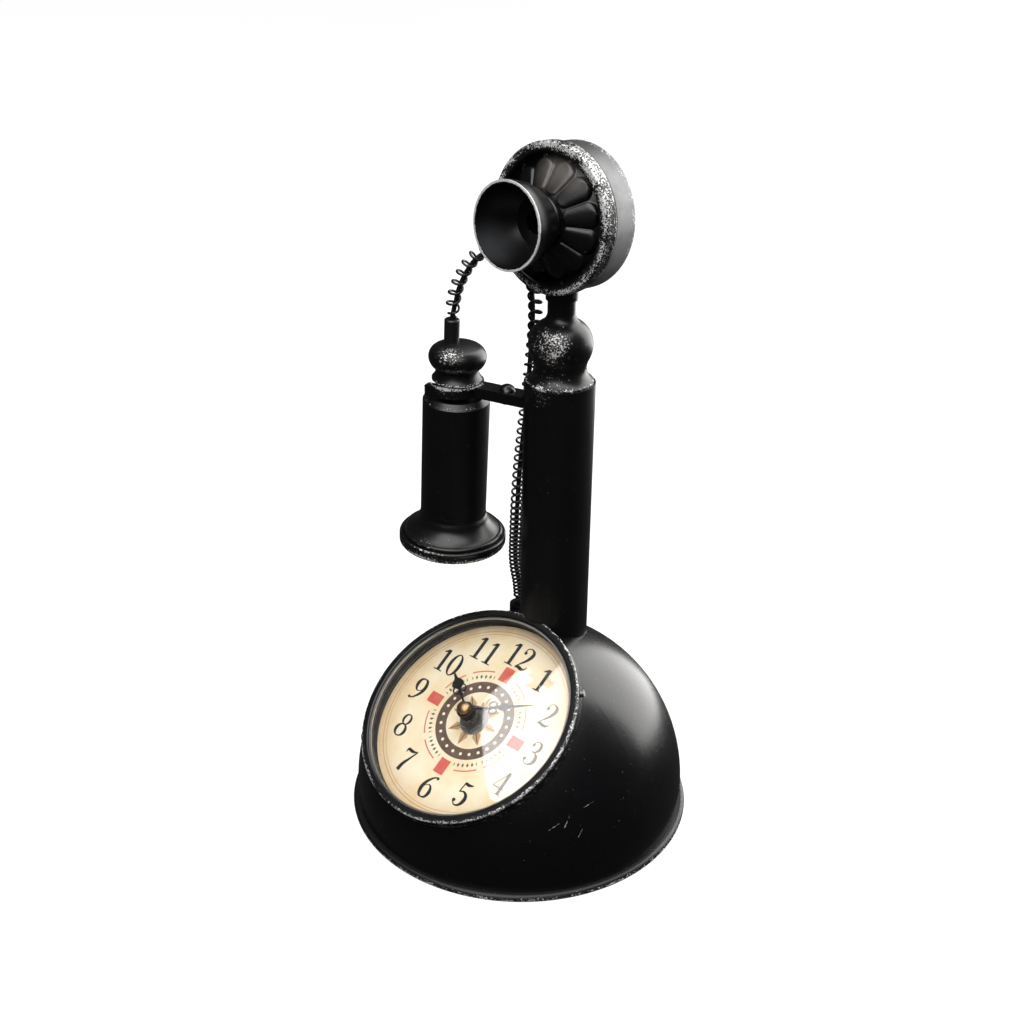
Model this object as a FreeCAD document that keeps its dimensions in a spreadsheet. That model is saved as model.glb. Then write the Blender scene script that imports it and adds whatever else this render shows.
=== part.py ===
import FreeCAD, Part
import math
import os
import Sketcher

# Desk clock in the shape of a candlestick telephone: a sheet iron dome holds the clock, a column on it
# carries the transmitter head, and a receiver hangs in a fork with a curly cord to the dome.
# Millimetres, +Z up, the front is -Y, the origin is the middle of the face that the base stands on.

document = FreeCAD.newDocument("candlestick_clock")
sheet = document.addObject("Spreadsheet::Sheet", "Sizes")
Vector = FreeCAD.Vector
nodes = {}


class Size:
    """A length that knows its number and the text that binds it to the sheet."""

    def __init__(self, number, text):
        self.number = number
        self.text = text

    def __add__(self, other):
        other = sized(other)
        return Size(self.number + other.number, f"({self.text} + {other.text})")

    def __sub__(self, other):
        other = sized(other)
        return Size(self.number - other.number, f"({self.text} - {other.text})")

    def __mul__(self, other):
        other = sized(other)
        return Size(self.number * other.number, f"({self.text} * {other.text})")

    def __truediv__(self, other):
        other = sized(other)
        return Size(self.number / other.number, f"({self.text} / {other.text})")

    def __radd__(self, other):
        return sized(other) + self

    def __rsub__(self, other):
        return sized(other) - self

    def __rmul__(self, other):
        return sized(other) * self

    def __neg__(self):
        return sized(0) - self


def sized(value):
    """A plain number as a Size; a Size stays as it is."""
    return value if isinstance(value, Size) else Size(float(value), f"{value:.6f}")


def number(value):
    """The number of a Size or of a plain number."""
    return sized(value).number


def root(value):
    """Square root of a Size."""
    return Size(math.sqrt(value.number), f"sqrt({value.text})")


def chord(radius, distance):
    """Half the chord that a circle cuts at a distance from its centre."""
    return root(radius * radius - distance * distance)


def bow(half_chord, depth):
    """Radius of the arc that a depth and half a chord give, measured from the arc's own tangent."""
    return (half_chord * half_chord + depth * depth) / (depth * 2)


# Driving dimensions in millimetres and degrees. Fits
press_gap = 0.02
running_gap = 0.06
slip_gap = 0.2
hang_gap = 0.3

# Base
flange_margin = 2.75
flange_width = 8.0
flange_bead = 1.6
dome_radius = 69.0
dome_wall = 1.5
dome_centre_height = 11.0

# Clock case, measured along the dial's axis from the centre of the dome
clock_lean = 34.5
drum_margin = 6.8
drum_wall = 1.1
drum_sink = 6.07
drum_shoulder = 1.2
dial_plate_thickness = 1.6
dial_card_thickness = 0.4
spacer_height = 4.6
spacer_wall = 1.2
glass_edge = 1.5
glass_rise = 12.0
bezel_wall = 1.28
bezel_lip_thickness = 1.7
bezel_lip_width = 3.3
bezel_round = 0.8
trim_wire_size = 0.7
bezel_screw_radius = 0.5
bezel_screw_head_radius = 1.5
bezel_screw_head_height = 1.3
bezel_screw_height = 1.0
bezel_screw_angle = 52.0

# Clock movement
contact_room = 3.1
case_depth = 16.0
case_wall = 1.2
case_front_wall = 1.3
case_back_wall = 1.5
gasket_thickness = 0.8
gasket_radius = 14.0
train_plate_thickness = 1.0
post_radius = 1.5
post_inset = 2.0
bush_radius = 3.5
bush_height = 6.4
nut_flats = 10.0
nut_height = 2.2
washer_radius = 6.4
washer_thickness = 0.5
battery_radius = 7.25
battery_length = 49.5
battery_nub_radius = 2.75
battery_nub_length = 1.0
battery_wall = 0.9
contact_thickness = 0.4
contact_width = 9.0
contact_tongue_radius = 2.0
board_width = 19.0
board_height = 11.0
board_thickness = 1.2
crystal_radius = 1.0
crystal_length = 6.0
stator_width = 8.0
stator_thickness = 1.0
stator_margin = 1.03
stator_gap = 0.5
magnet_radius = 2.6
magnet_length = 2.0
magnet_clearance = 0.8
core_width = 3.0
core_thickness = 1.0
core_margin = 0.83
coil_radius = 2.9

# Wheels of the movement
wheel_thickness = 1.1
wheel_gap = 0.4
setting_angle = 160.0
third_angle = 20.0
fifth_angle = 100.0
rotor_angle = 140.0
train_arbor_radius = 0.5
minute_arbor_radius = 1.7
minute_tip_radius = 1.2
hour_pipe_wall = 0.7
setting_arbor_radius = 0.9
setting_distance = 12.0
train_distance = 10.2
rotor_distance = 8.75
pivot_depth = 0.8
knob_radius = 5.5
knob_height = 2.6

# Hands, heights above the dial
hand_thickness = 0.5
hand_lift = 1.2
hour_hand_length = 21.0
hand_gap = 1.6
minute_hand_length = 29.5
hand_hub_radius = 3.6
hand_cap_radius = 2.6
hand_cap_height = 3.4
hand_cap_crown = 1.0
hand_stem = 0.6
hand_tip = 0.42
hour_leaf = 3.2
hour_leaf_start = 9.45
hour_leaf_widest = 12.4
hour_leaf_end = 16.8
minute_leaf = 2.2
minute_leaf_start = 10.6
minute_leaf_widest = 13.5
minute_leaf_end = 17.7

# Column
column_offset = 19.8
column_radius = 14.0
column_wall = 1.5
column_top = 185.6
finial_spigot = 9.0
finial_rim_inset = 0.7
finial_rim_height = 0.8
finial_waist_radius = 10.3
finial_waist_height = 6.0
ball_radius = 12.6
ball_foot_radius = 11.0
ball_height = 15.4
shoulder_radius = 7.6
shoulder_rise = 8.8
neck_radius = 5.4
neck_rise = 3.9
neck_top = 33.2
collar_step = 0.8
collar_height = 5.0

# Transmitter head, measured along its axis from the back of the cup
head_overhang = 8.9
head_tilt = 5.0
cup_radius = 27.2
cup_depth = 11.6
cup_wall = 1.5
cup_round = 2.2
cup_step = 1.4
groove_width = 0.9
ring_overhang = 0.8
ring_width = 5.8
ring_lip_width = 4.0
ring_lip_depth = 3.6
ring_round = 0.9
face_thickness = 1.2
face_rise = 7.5
face_hub_margin = 0.6
face_rim_margin = 1.5
petal_rise = 1.5
petal_gap = 1.2
petal_margin = 0.6
petal_width = 9.2
petal_tip_round = 4.8
horn_length = 18.3
horn_mouth_radius = 16.25
horn_foot_radius = 9.6
horn_wall = 1.2
horn_bore_radius = 4.6
horn_spigot_radius = 6.2
horn_spigot_length = 4.2
horn_nut_radius = 9.0
horn_nut_height = 2.4
horn_throat_radius = 9.2
horn_throat_height = 1.4
horn_foot_height = 0.8
horn_bell_round = 24.0

# Hook
hook_turn = 15.4
hook_reach = 46.0
hook_drop = 12.9
hook_plate = 2.2
hook_width = 8.0
bracket_gap = 1.2
fork_gap = 0.6
fork_width = 3.6
fork_prong = 8.5
rivet_offset = 9.0
rivet_radius = 1.6
rivet_head_radius = 3.6
rivet_head_height = 2.6
rivet_tail_radius = 2.6
rivet_tail_height = 0.8

# Receiver, heights from its ear end
receiver_lean = 2.1
receiver_drop = 1.7
receiver_lip_radius = 22.5
receiver_lip_height = 4.6
receiver_lip_round = 1.0
receiver_bead_radius = 20.9
receiver_bead_height = 1.6
receiver_bead_step = 0.8
receiver_bead_round = 1.2
receiver_flare_step = 0.5
receiver_flare_height = 15.7
receiver_radius = 13.7
receiver_length = 67.0
receiver_wall = 2.2
receiver_shoulder = 2.2
receiver_roof = 4.0
ear_cap_margin = 3.8
ear_cap_thickness = 2.0
ear_hole_radius = 4.0
hanger_radius = 7.2
hanger_spigot_radius = 5.2
skirt_overhang = 3.0
skirt_edge = 0.6
waist_height = 4.6
waist_radius = 8.6
knob_ball_radius = 11.7
knob_ball_height = 9.6
knob_shoulder_radius = 8.8
knob_shoulder_rise = 4.3
knob_crown = 1.7
ferrule_radius = 3.1
ferrule_offset = 2.9
ferrule_length = 9.1
ferrule_chamfer = 0.4
ferrule_seat = 3.0

# Cord
cord_radius = 3.0
cord_lead = 8.5
gland_radius = 4.6
gland_spigot_radius = 3.6
gland_across = -27.2
gland_back = 28.6
gland_height = 4.0
gland_depth = 9.0

# Each number above becomes a row of the sheet, and its name then stands for that cell
driving = {alias: value for alias, value in list(globals().items()) if isinstance(value, float)}
for row, (alias, value) in enumerate(driving.items(), 1):
    sheet.set(f"A{row}", alias)
    sheet.set(f"B{row}", str(value))
    sheet.setAlias(f"B{row}", alias)
    globals()[alias] = Size(value, f"Sizes.{alias}")
document.recompute()

# Frames of the leaning clock, the tilted head, the column and the hook
upright = FreeCAD.Placement()
clock_frame = FreeCAD.Placement(
    Vector(0, 0, dome_centre_height.number), FreeCAD.Rotation(Vector(1, 0, 0), clock_lean.number))
collar_radius = neck_radius + collar_step
head_length = cup_depth + groove_width + ring_width
head_height = column_top + neck_top + collar_height + cup_radius
head_front = column_offset - head_overhang
head_rotation = FreeCAD.Rotation(Vector(1, 0, 0), 90 - head_tilt.number)
head_axis = head_rotation.multVec(Vector(0, 0, 1))
head_frame = FreeCAD.Placement(
    Vector(0, head_front.number, head_height.number) - head_axis * head_length.number, head_rotation)
column_frame = FreeCAD.Placement(Vector(0, column_offset.number, 0), FreeCAD.Rotation())
hook_frame = FreeCAD.Placement(
    Vector(0, column_offset.number, 0), FreeCAD.Rotation(Vector(0, 0, 1), 180 + hook_turn.number))
hook_height = column_top - hook_drop
bracket_top = hook_height + hook_plate
fork_top = bracket_top + hook_plate
sideways = FreeCAD.Placement(Vector(), FreeCAD.Rotation(Vector(0, 1, 0), 90))


def at(x, y, z, turn=0):
    """Placement at a point of a frame, turned about its third axis."""
    return FreeCAD.Placement(
        Vector(number(x), number(y), number(z)), FreeCAD.Rotation(Vector(0, 0, 1), turn))


def keep(label, piece):
    """Name a finished piece as a node of the object."""
    piece.Label = label
    nodes[label] = piece
    return piece


def bind(piece, **sizes):
    """Tie properties of an object to the sheet."""
    for name, value in sizes.items():
        setattr(piece, name, number(value))
        piece.setExpression(name, sized(value).text)


def rod(name, radius, low, high, frame, x=0, y=0):
    """Round bar between two heights of a frame."""
    bar = document.addObject("Part::Cylinder", name)
    bind(bar, Radius=radius, Height=sized(high) - low)
    bar.Placement = frame * at(x, y, low)
    return bar


def block(name, low, high, frame):
    """Rectangular block between two corners of a frame."""
    brick = document.addObject("Part::Box", name)
    bind(brick, Length=sized(high[0]) - low[0], Width=sized(high[1]) - low[1], Height=sized(high[2]) - low[2])
    brick.Placement = frame * at(*low)
    return brick


def fuse(name, *pieces):
    """Join pieces into one."""
    joined = document.addObject("Part::MultiFuse", name)
    joined.Shapes = list(pieces)
    joined.Refine = True
    return joined


def cut(name, base, *tools):
    """Cut tools out of a base."""
    difference = document.addObject("Part::Cut", name)
    difference.Base = base
    difference.Tool = tools[0] if len(tools) == 1 else fuse(name + "_tools", *tools)
    difference.Refine = True
    return difference


def origin_of(body, role):
    """One of a body's own origin planes or axes."""
    return next(feature for feature in body.Origin.OriginFeatures if feature.Role == role)


def arc_between(start, end, radius, turn):
    """Arc from start to end that bends left where turn is 1 and right where it is -1."""
    middle = (start + end) * 0.5
    along = end - start
    half = along.Length / 2
    along.normalize()
    left = Vector(-along.y, along.x, 0)
    centre = middle + left * (turn * math.sqrt(max(radius * radius - half * half, 0)))
    first, last = (start, end) if turn > 0 else (end, start)
    angles = [math.atan2(point.y - centre.y, point.x - centre.x) for point in (first, last)]
    circle = Part.Circle(centre, Vector(0, 0, 1), radius)
    return Part.ArcOfCircle(circle, angles[0], angles[1])


def outline(body, name, role, points):
    """Closed sketch through points, each (x, y), or (x, y, radius, turn) where an arc leads to it."""
    sketch = body.newObject("Sketcher::SketchObject", name)
    sketch.AttachmentSupport = [(origin_of(body, role), "")]
    sketch.MapMode = "FlatFace"
    places = [Vector(number(point[0]), number(point[1]), 0) for point in points]
    constraints = []
    expressions = {}
    starts = []
    ends = []
    for index, place in enumerate(places):
        following = (index + 1) % len(places)
        goal = points[following]
        if len(goal) == 4:
            sketch.addGeometry(arc_between(place, places[following], number(goal[2]), goal[3]), False)
            starts.append(1 if goal[3] > 0 else 2)
            ends.append(2 if goal[3] > 0 else 1)
        else:
            sketch.addGeometry(Part.LineSegment(place, places[following]), False)
            starts.append(1)
            ends.append(2)
    for index, point in enumerate(points):
        following = (index + 1) % len(points)
        constraints.append(
            Sketcher.Constraint("Coincident", index, ends[index], following, starts[following]))
        for kind, value, axis in (("DistanceX", point[0], -2), ("DistanceY", point[1], -1)):
            if isinstance(value, Size) or value != 0:
                expressions[len(constraints)] = sized(value).text
                constraints.append(Sketcher.Constraint(kind, index, starts[index], number(value)))
            else:
                constraints.append(Sketcher.Constraint("PointOnObject", index, starts[index], axis))
        if len(points[following]) == 4:
            expressions[len(constraints)] = sized(points[following][2]).text
            constraints.append(Sketcher.Constraint("Radius", index, number(points[following][2])))
    sketch.addConstraint(constraints)
    for index, text in expressions.items():
        sketch.setExpression(f"Constraints[{index}]", text)
    return sketch


def turned(name, points, frame):
    """Piece turned about the third axis of a frame from half its section."""
    body = document.addObject("PartDesign::Body", name)
    sketch = outline(body, name + "_section", "XZ_Plane", points)
    turning = body.newObject("PartDesign::Revolution", name + "_turning")
    turning.Profile = sketch
    turning.ReferenceAxis = (sketch, ["V_Axis"])
    turning.Angle = 360
    body.Placement = frame
    return body


def ring(name, inner, outer, low, high, frame):
    """Turned ring of rectangular section."""
    return turned(name, [(inner, low), (outer, low), (outer, high), (inner, high)], frame)


def padded(name, points, thickness, frame):
    """Flat piece padded up from an outline in the first two axes of a frame."""
    body = document.addObject("PartDesign::Body", name)
    sketch = outline(body, name + "_outline", "XY_Plane", points)
    pad = body.newObject("PartDesign::Pad", name + "_pad")
    pad.Profile = sketch
    bind(pad, Length=thickness)
    body.Placement = frame
    return body


def feature(name, shape, frame):
    """Piece whose shape is worked out here."""
    piece = document.addObject("Part::Feature", name)
    piece.Shape = shape
    piece.Placement = frame
    return piece


# Drum that holds the square movement by its corners, sunk into the dome; bezel on it
case_side = battery_length + battery_nub_length + contact_room + case_wall * 2
half_diagonal = case_side * math.sqrt(0.5)
drum_radius = half_diagonal + drum_margin
drum_rear = chord(dome_radius, drum_radius) - drum_sink
bezel_radius = drum_radius + press_gap + bezel_wall

# Base: a rolled flange on the table and a spun dome on it, opened for the clock and the cord
flange_height = flange_bead * 2
dome_inner_radius = dome_radius - dome_wall
dome_drop = dome_centre_height - flange_height
dome_foot = chord(dome_radius, dome_drop)
flange_radius = dome_foot + flange_margin
flange_inner_radius = flange_radius - flange_width
keep("base_flange", turned("base_flange", [
    (flange_inner_radius, 0),
    (flange_radius - flange_bead, 0),
    (flange_radius, flange_bead, flange_bead, 1),
    (flange_radius - flange_bead, flange_height, flange_bead, 1),
    (flange_inner_radius, flange_height)], upright))

dome_shell = turned("dome_shell", [
    (chord(dome_inner_radius, dome_drop), flange_height, dome_inner_radius, -1),
    (dome_foot, flange_height),
    (0, dome_centre_height + dome_radius, dome_radius, 1),
    (0, dome_centre_height + dome_inner_radius)], upright)

gland_top = dome_centre_height + gland_height + root(
    dome_radius * dome_radius - gland_across * gland_across - gland_back * gland_back)
dome_ball = document.addObject("Part::Sphere", "dome_ball")
bind(dome_ball, Radius=dome_radius)
dome_ball.Placement = at(0, 0, dome_centre_height)
clock_opening = rod("clock_opening", drum_radius + slip_gap, drum_rear, dome_radius + dome_wall, clock_frame)
gland_hole = rod("gland_hole", gland_spigot_radius + press_gap, gland_top - gland_depth * 2, gland_top,
                 upright, gland_across, gland_back)
keep("base_dome", cut("base_dome", dome_shell, clock_opening, gland_hole))

# Gland that leads the cord into the dome: a flange on the dome and a spigot through it
gland_flange = rod("gland_flange", gland_radius, gland_top - gland_depth * 2, gland_top,
                   upright, gland_across, gland_back)
gland_spigot = rod("gland_spigot", gland_spigot_radius, gland_top - gland_depth, gland_top,
                   upright, gland_across, gland_back)
keep("cord_gland", fuse("cord_gland", cut("gland_outside", gland_flange, dome_ball), gland_spigot))

# Clock case: drum in the dome, dial on its shoulder, spacer, domed glass, trim wire and bezel in front
drum_bore = drum_radius - drum_wall
shoulder_top = drum_rear + drum_shoulder
plate_top = shoulder_top + dial_plate_thickness
dial_top = plate_top + dial_card_thickness
glass_seat = dial_top + spacer_height
lip_seat = glass_seat + glass_edge
bezel_front = lip_seat + bezel_lip_thickness
skirt_bottom = chord(dome_radius, drum_radius) + slip_gap
lip_inner = bezel_radius - bezel_lip_width
wire_inner = lip_inner - trim_wire_size
spacer_outer = drum_bore - press_gap

screw_level = skirt_bottom + bezel_screw_height
screw_inner = spacer_outer - spacer_wall
screw_head_top = bezel_radius + bezel_screw_head_height
screw_shanks = []
screw_pieces = []
screw_count = 2
for turn in range(screw_count):
    angle = 90 - bezel_screw_angle.number - 360 / screw_count * turn
    outward = clock_frame * at(0, 0, screw_level, angle) * sideways
    shank = rod(f"screw_shank_{turn}", bezel_screw_radius, screw_inner,
                screw_head_top - bezel_screw_head_height / 2, outward)
    head = rod(f"screw_head_{turn}", bezel_screw_head_radius, bezel_radius, screw_head_top, outward)
    screw_shanks.append(shank)
    screw_pieces.append(fuse(f"bezel_screw_{turn}", shank, head))
bezel_screws = document.addObject("Part::Compound", "bezel_screws")
bezel_screws.Links = screw_pieces
keep("bezel_screws", bezel_screws)

drum_shell = turned("drum_shell", [
    (half_diagonal + hang_gap, drum_rear),
    (drum_radius, drum_rear),
    (drum_radius, lip_seat),
    (drum_bore, lip_seat),
    (drum_bore, shoulder_top),
    (half_diagonal + hang_gap, shoulder_top)], clock_frame)
keep("clock_drum", cut("clock_drum", drum_shell, *screw_shanks))

spacer = ring("spacer", spacer_outer - spacer_wall, spacer_outer, dial_top, glass_seat, clock_frame)
keep("spacer_ring", cut("spacer_ring", spacer, *screw_shanks))

bezel_shell = turned("bezel_shell", [
    (drum_radius + press_gap, skirt_bottom),
    (bezel_radius, skirt_bottom),
    (bezel_radius, bezel_front - bezel_round),
    (bezel_radius - bezel_round, bezel_front, bezel_round, 1),
    (lip_inner + bezel_round, bezel_front),
    (lip_inner, bezel_front - bezel_round, bezel_round, 1),
    (lip_inner, lip_seat),
    (drum_radius + press_gap, lip_seat)], clock_frame)
keep("bezel_ring", cut("bezel_ring", bezel_shell, *screw_shanks))

keep("trim_wire", ring("trim_wire", wire_inner, lip_inner - press_gap, lip_seat, lip_seat + trim_wire_size,
                       clock_frame))

glass_land = wire_inner - slip_gap
glass_curve = bow(glass_land, glass_rise)
keep("glass", turned("glass", [
    (glass_land, glass_seat, glass_curve, -1),
    (spacer_outer, glass_seat),
    (spacer_outer, lip_seat),
    (glass_land, lip_seat),
    (0, lip_seat + glass_rise, glass_curve, 1),
    (0, glass_seat + glass_rise)], clock_frame))

bush_hole = bush_radius + slip_gap
keep("dial_card", ring("dial_card", bush_hole, spacer_outer, plate_top, dial_top, clock_frame))
keep("dial_plate", ring("dial_plate", bush_hole, spacer_outer, shoulder_top, plate_top, clock_frame))

# Movement case, its depths counted from the front face behind the dial gasket
case_front = shoulder_top - gasket_thickness
movement_frame = clock_frame * at(0, 0, case_front)
keep("dial_gasket", ring("dial_gasket", bush_hole, gasket_radius, case_front, shoulder_top, clock_frame))

case_half = case_side / 2
inner_half = case_half - case_wall
back_inside = case_depth - case_back_wall
hour_level = case_front_wall + wheel_gap
cannon_level = hour_level + wheel_thickness + wheel_gap
plate_level = cannon_level + wheel_thickness + wheel_gap
plate_behind = plate_level + train_plate_thickness
centre_level = plate_behind + wheel_gap
third_level = centre_level + wheel_thickness + wheel_gap
second_level = third_level + wheel_thickness + wheel_gap
fifth_level = second_level + wheel_thickness + wheel_gap
battery_across = inner_half - battery_radius - slip_gap
partition_top = battery_radius - battery_across + slip_gap + battery_wall
partition_bottom = partition_top - battery_wall
post_place = inner_half - post_inset
post_low_place = partition_top + post_inset


def polar(distance, angle, start=(0, 0)):
    """Point at a distance and an angle in degrees from a start."""
    reach = math.radians(number(angle))
    return start[0] + number(distance) * math.cos(reach), start[1] + number(distance) * math.sin(reach)


setting_axis = polar(setting_distance, setting_angle)
third_axis = polar(train_distance, third_angle)
fifth_axis = polar(train_distance, fifth_angle)
rotor_axis = polar(rotor_distance, rotor_angle, fifth_axis)
post_axes = [(side * post_place.number, height) for side in (-1, 1)
             for height in (post_place.number, post_low_place.number)]

case_block = block("case_block", (-case_half, -case_half, -back_inside),
                   (case_half, case_half, 0), movement_frame)
case_hollow = block("case_hollow", (-inner_half, -inner_half, -back_inside),
                    (inner_half, inner_half, -case_front_wall), movement_frame)
partition = block("partition", (-inner_half, partition_bottom, -back_inside),
                  (inner_half, partition_top, -case_front_wall), movement_frame)
case_posts = [rod(f"case_post_{index}", post_radius, -plate_level, -case_front_wall, movement_frame, *place)
              for index, place in enumerate(post_axes)]
bush_seat = rod("bush_seat", bush_radius, -case_front_wall, 0, movement_frame)
setting_seat = rod("setting_seat", setting_arbor_radius + running_gap, -case_front_wall,
                   pivot_depth - case_front_wall, movement_frame, *setting_axis)
case_tray = fuse("case_tray", cut("case_shell", case_block, case_hollow), partition, *case_posts)
keep("movement_case", cut("movement_case", case_tray, bush_seat, setting_seat))

back_plate = block("back_plate", (-case_half, -case_half, -case_depth), (case_half, case_half, -back_inside),
                   movement_frame)
battery_door = block("battery_door", (-inner_half, -inner_half, -case_depth),
                     (inner_half, partition_bottom, -back_inside), movement_frame)
back_posts = [rod(f"back_post_{index}", post_radius, -back_inside, -plate_behind, movement_frame, *place)
              for index, place in enumerate(post_axes)]
setting_hole = rod("setting_hole", setting_arbor_radius + running_gap, -case_depth, 0,
                   movement_frame, *setting_axis)
pivot_radius = train_arbor_radius + running_gap
back_pivots = [rod(f"back_pivot_{index}", pivot_radius, -back_inside - pivot_depth, -back_inside,
                   movement_frame, *place)
               for index, place in enumerate([(0, 0), third_axis, fifth_axis, rotor_axis])]
back_cover = fuse("back_cover", back_plate, *back_posts)
keep("movement_back", cut("movement_back", back_cover, battery_door, setting_hole, *back_pivots))

coil_axis_level = plate_behind + slip_gap + coil_radius
stator_level = coil_axis_level - core_thickness / 2 - stator_thickness
stator_high = (rotor_axis[0] + stator_width / 2, inner_half - stator_margin)
core_foot_top = rotor_axis[1] - magnet_radius - magnet_clearance
stator_low = (stator_high[0] - stator_width, core_foot_top - core_width)
stator_posts = [
    rod("stator_post_low", post_radius, -stator_level, -plate_behind, movement_frame,
        stator_low[0] + post_radius, stator_low[1] + post_radius),
    rod("stator_post_high", post_radius, -stator_level, -plate_behind, movement_frame,
        stator_high[0] - post_radius, stator_high[1] - post_radius)]
train_sheet = block("train_sheet", (slip_gap - inner_half, partition_top + slip_gap, -plate_behind),
                    (inner_half - slip_gap, inner_half - slip_gap, -plate_level), movement_frame)
centre_hole = rod("centre_hole", minute_arbor_radius + running_gap, -plate_behind, -plate_level,
                  movement_frame)
plate_pivots = [rod(f"plate_pivot_{index}", pivot_radius, -plate_behind, -plate_level, movement_frame, *place)
                for index, place in enumerate([third_axis, fifth_axis, rotor_axis])]
train_bridge = fuse("train_bridge", train_sheet, *stator_posts)
keep("train_plate", cut("train_plate", train_bridge, centre_hole, setting_hole, *plate_pivots))

# Motor: stator, coil core bridging its ends, coil on the core, circuit board with its crystal
stator_bar = block("stator_bar", (*stator_low, -stator_level - stator_thickness),
                   (*stator_high, -stator_level), movement_frame)
stator_bore = rod("stator_bore", magnet_radius + stator_gap, -stator_level - stator_thickness, -stator_level,
                  movement_frame, *rotor_axis)
keep("stator", cut("stator", stator_bar, stator_bore))

core_top = stator_level + stator_thickness
core_bottom = core_top + core_thickness
core_left = post_radius + core_margin - post_place
core_bars = [
    block("core_leg", (core_left, stator_low[1], -core_bottom),
          (core_left + core_width, stator_high[1], -core_top), movement_frame),
    block("core_foot", (core_left, stator_low[1], -core_bottom),
          (stator_high[0], core_foot_top, -core_top), movement_frame),
    block("core_head", (core_left, stator_high[1] - core_width, -core_bottom), (*stator_high, -core_top),
          movement_frame)]
keep("coil_core", fuse("coil_core", *core_bars))

coil_drum = document.addObject("Part::Cylinder", "coil_drum")
coil_length = stator_high[1] - core_foot_top - core_width - slip_gap * 2
bind(coil_drum, Radius=coil_radius, Height=coil_length)
coil_drum.Placement = movement_frame * at(core_left + core_width / 2, core_foot_top + slip_gap,
                                          -coil_axis_level)
coil_drum.Placement = coil_drum.Placement * FreeCAD.Placement(
    Vector(), FreeCAD.Rotation(Vector(1, 0, 0), -90))
keep("coil", cut("coil", coil_drum, core_bars[0]))

board_low = (post_place - post_radius - slip_gap - board_width, inner_half - slip_gap - board_height)
board_high = (board_low[0] + board_width, board_low[1] + board_height)
keep("circuit_board", block("circuit_board", (*board_low, -plate_behind - board_thickness),
                            (*board_high, -plate_behind), movement_frame))
crystal = document.addObject("Part::Cylinder", "quartz_crystal")
bind(crystal, Radius=crystal_radius, Height=crystal_length)
crystal_level = plate_behind + board_thickness + crystal_radius
crystal.Placement = movement_frame * at(
    board_low[0] + crystal_length / 2, board_low[1] + board_height / 2, -crystal_level) * sideways
keep("quartz_crystal", crystal)

# Battery across the foot of the case, between two spring contacts
battery_frame = movement_frame * at(0, -battery_across, -(case_front_wall + slip_gap + battery_radius))
battery_frame = battery_frame * sideways
battery_can = rod("battery_can", battery_radius, -battery_length / 2, battery_length / 2, battery_frame)
battery_nub = rod("battery_nub", battery_nub_radius, battery_length / 2,
                  battery_length / 2 + battery_nub_length, battery_frame)
keep("battery", fuse("battery", battery_can, battery_nub))
contact_half = contact_width / 2
plus_strip = block("plus_strip", (-contact_half, -contact_half, inner_half - contact_thickness),
                   (contact_half, contact_half, inner_half), battery_frame)
plus_tongue = rod("plus_tongue", contact_tongue_radius, battery_length / 2 + battery_nub_length, inner_half,
                  battery_frame)
keep("contact_plus", fuse("contact_plus", plus_strip, plus_tongue))
minus_strip = block("minus_strip", (-contact_half, -contact_half, -inner_half),
                    (contact_half, contact_half, contact_thickness - inner_half), battery_frame)
minus_tongue = rod("minus_tongue", contact_tongue_radius, -inner_half, -battery_length / 2, battery_frame)
keep("contact_minus", fuse("contact_minus", minus_strip, minus_tongue))

# Bush that carries the movement on the dial, with its washer and nut
hour_bore = minute_arbor_radius + running_gap
hour_pipe_radius = hour_bore + hour_pipe_wall
bush_bore = hour_pipe_radius + running_gap
keep("centre_bush", ring("centre_bush", bush_bore, bush_radius, case_front - case_front_wall,
                         dial_top + bush_height, clock_frame))
keep("bush_washer", ring("bush_washer", bush_radius + press_gap, washer_radius, dial_top,
                         dial_top + washer_thickness, clock_frame))
nut_block = document.addObject("Part::Prism", "nut_block")
nut_block.Polygon = 6
bind(nut_block, Circumradius=nut_flats / math.sqrt(3), Height=nut_height)
nut_block.Placement = clock_frame * at(0, 0, dial_top + washer_thickness)
nut_hole = rod("nut_hole", bush_radius + press_gap, dial_top, dial_top + bush_height, clock_frame)
keep("bush_nut", cut("bush_nut", nut_block, nut_hole))

# Wheels: involute teeth on turned arbors
pressure_angle = math.radians(25)
addendum = 0.7
dedendum = 1.0
backlash = 0.12


def involute(angle):
    """Roll angle less the angle itself, which bends a flank away from its base circle."""
    return math.tan(angle) - angle


def toothed(teeth, module, top, bottom, tooth_at):
    """Toothed disc between two depths, with a tooth centred at an angle in degrees."""
    pitch = teeth * module / 2
    base = pitch * math.cos(pressure_angle)
    half_pitch = math.pi / (2 * teeth) - backlash * module / (2 * pitch)
    corners = []
    for tooth in range(teeth):
        middle = math.radians(tooth_at) + 2 * math.pi * tooth / teeth
        flank = []
        for radius in (pitch - dedendum * module, pitch, pitch + addendum * module):
            slope = math.acos(min(base / radius, 1))
            flank.append((radius, half_pitch + involute(pressure_angle) - involute(slope)))
        turns = [(radius, middle - half) for radius, half in flank]
        turns += [(radius, middle + half) for radius, half in reversed(flank)]
        corners += [Vector(radius * math.cos(angle), radius * math.sin(angle), -number(bottom))
                    for radius, angle in turns]
    face = Part.Face(Part.makePolygon(corners + corners[:1]))
    return face.extrude(Vector(0, 0, number(bottom) - number(top)))


def bar(radius, top, bottom):
    """Round bar between two depths, about the axis of a wheel."""
    return Part.makeCylinder(number(radius), number(bottom) - number(top), Vector(0, 0, -number(bottom)))


def meshing(driven_teeth, direction):
    """Angles of a tooth on the driver and on the driven wheel that mesh along a direction."""
    return number(direction), number(direction) + 180 + 180 / driven_teeth


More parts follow.
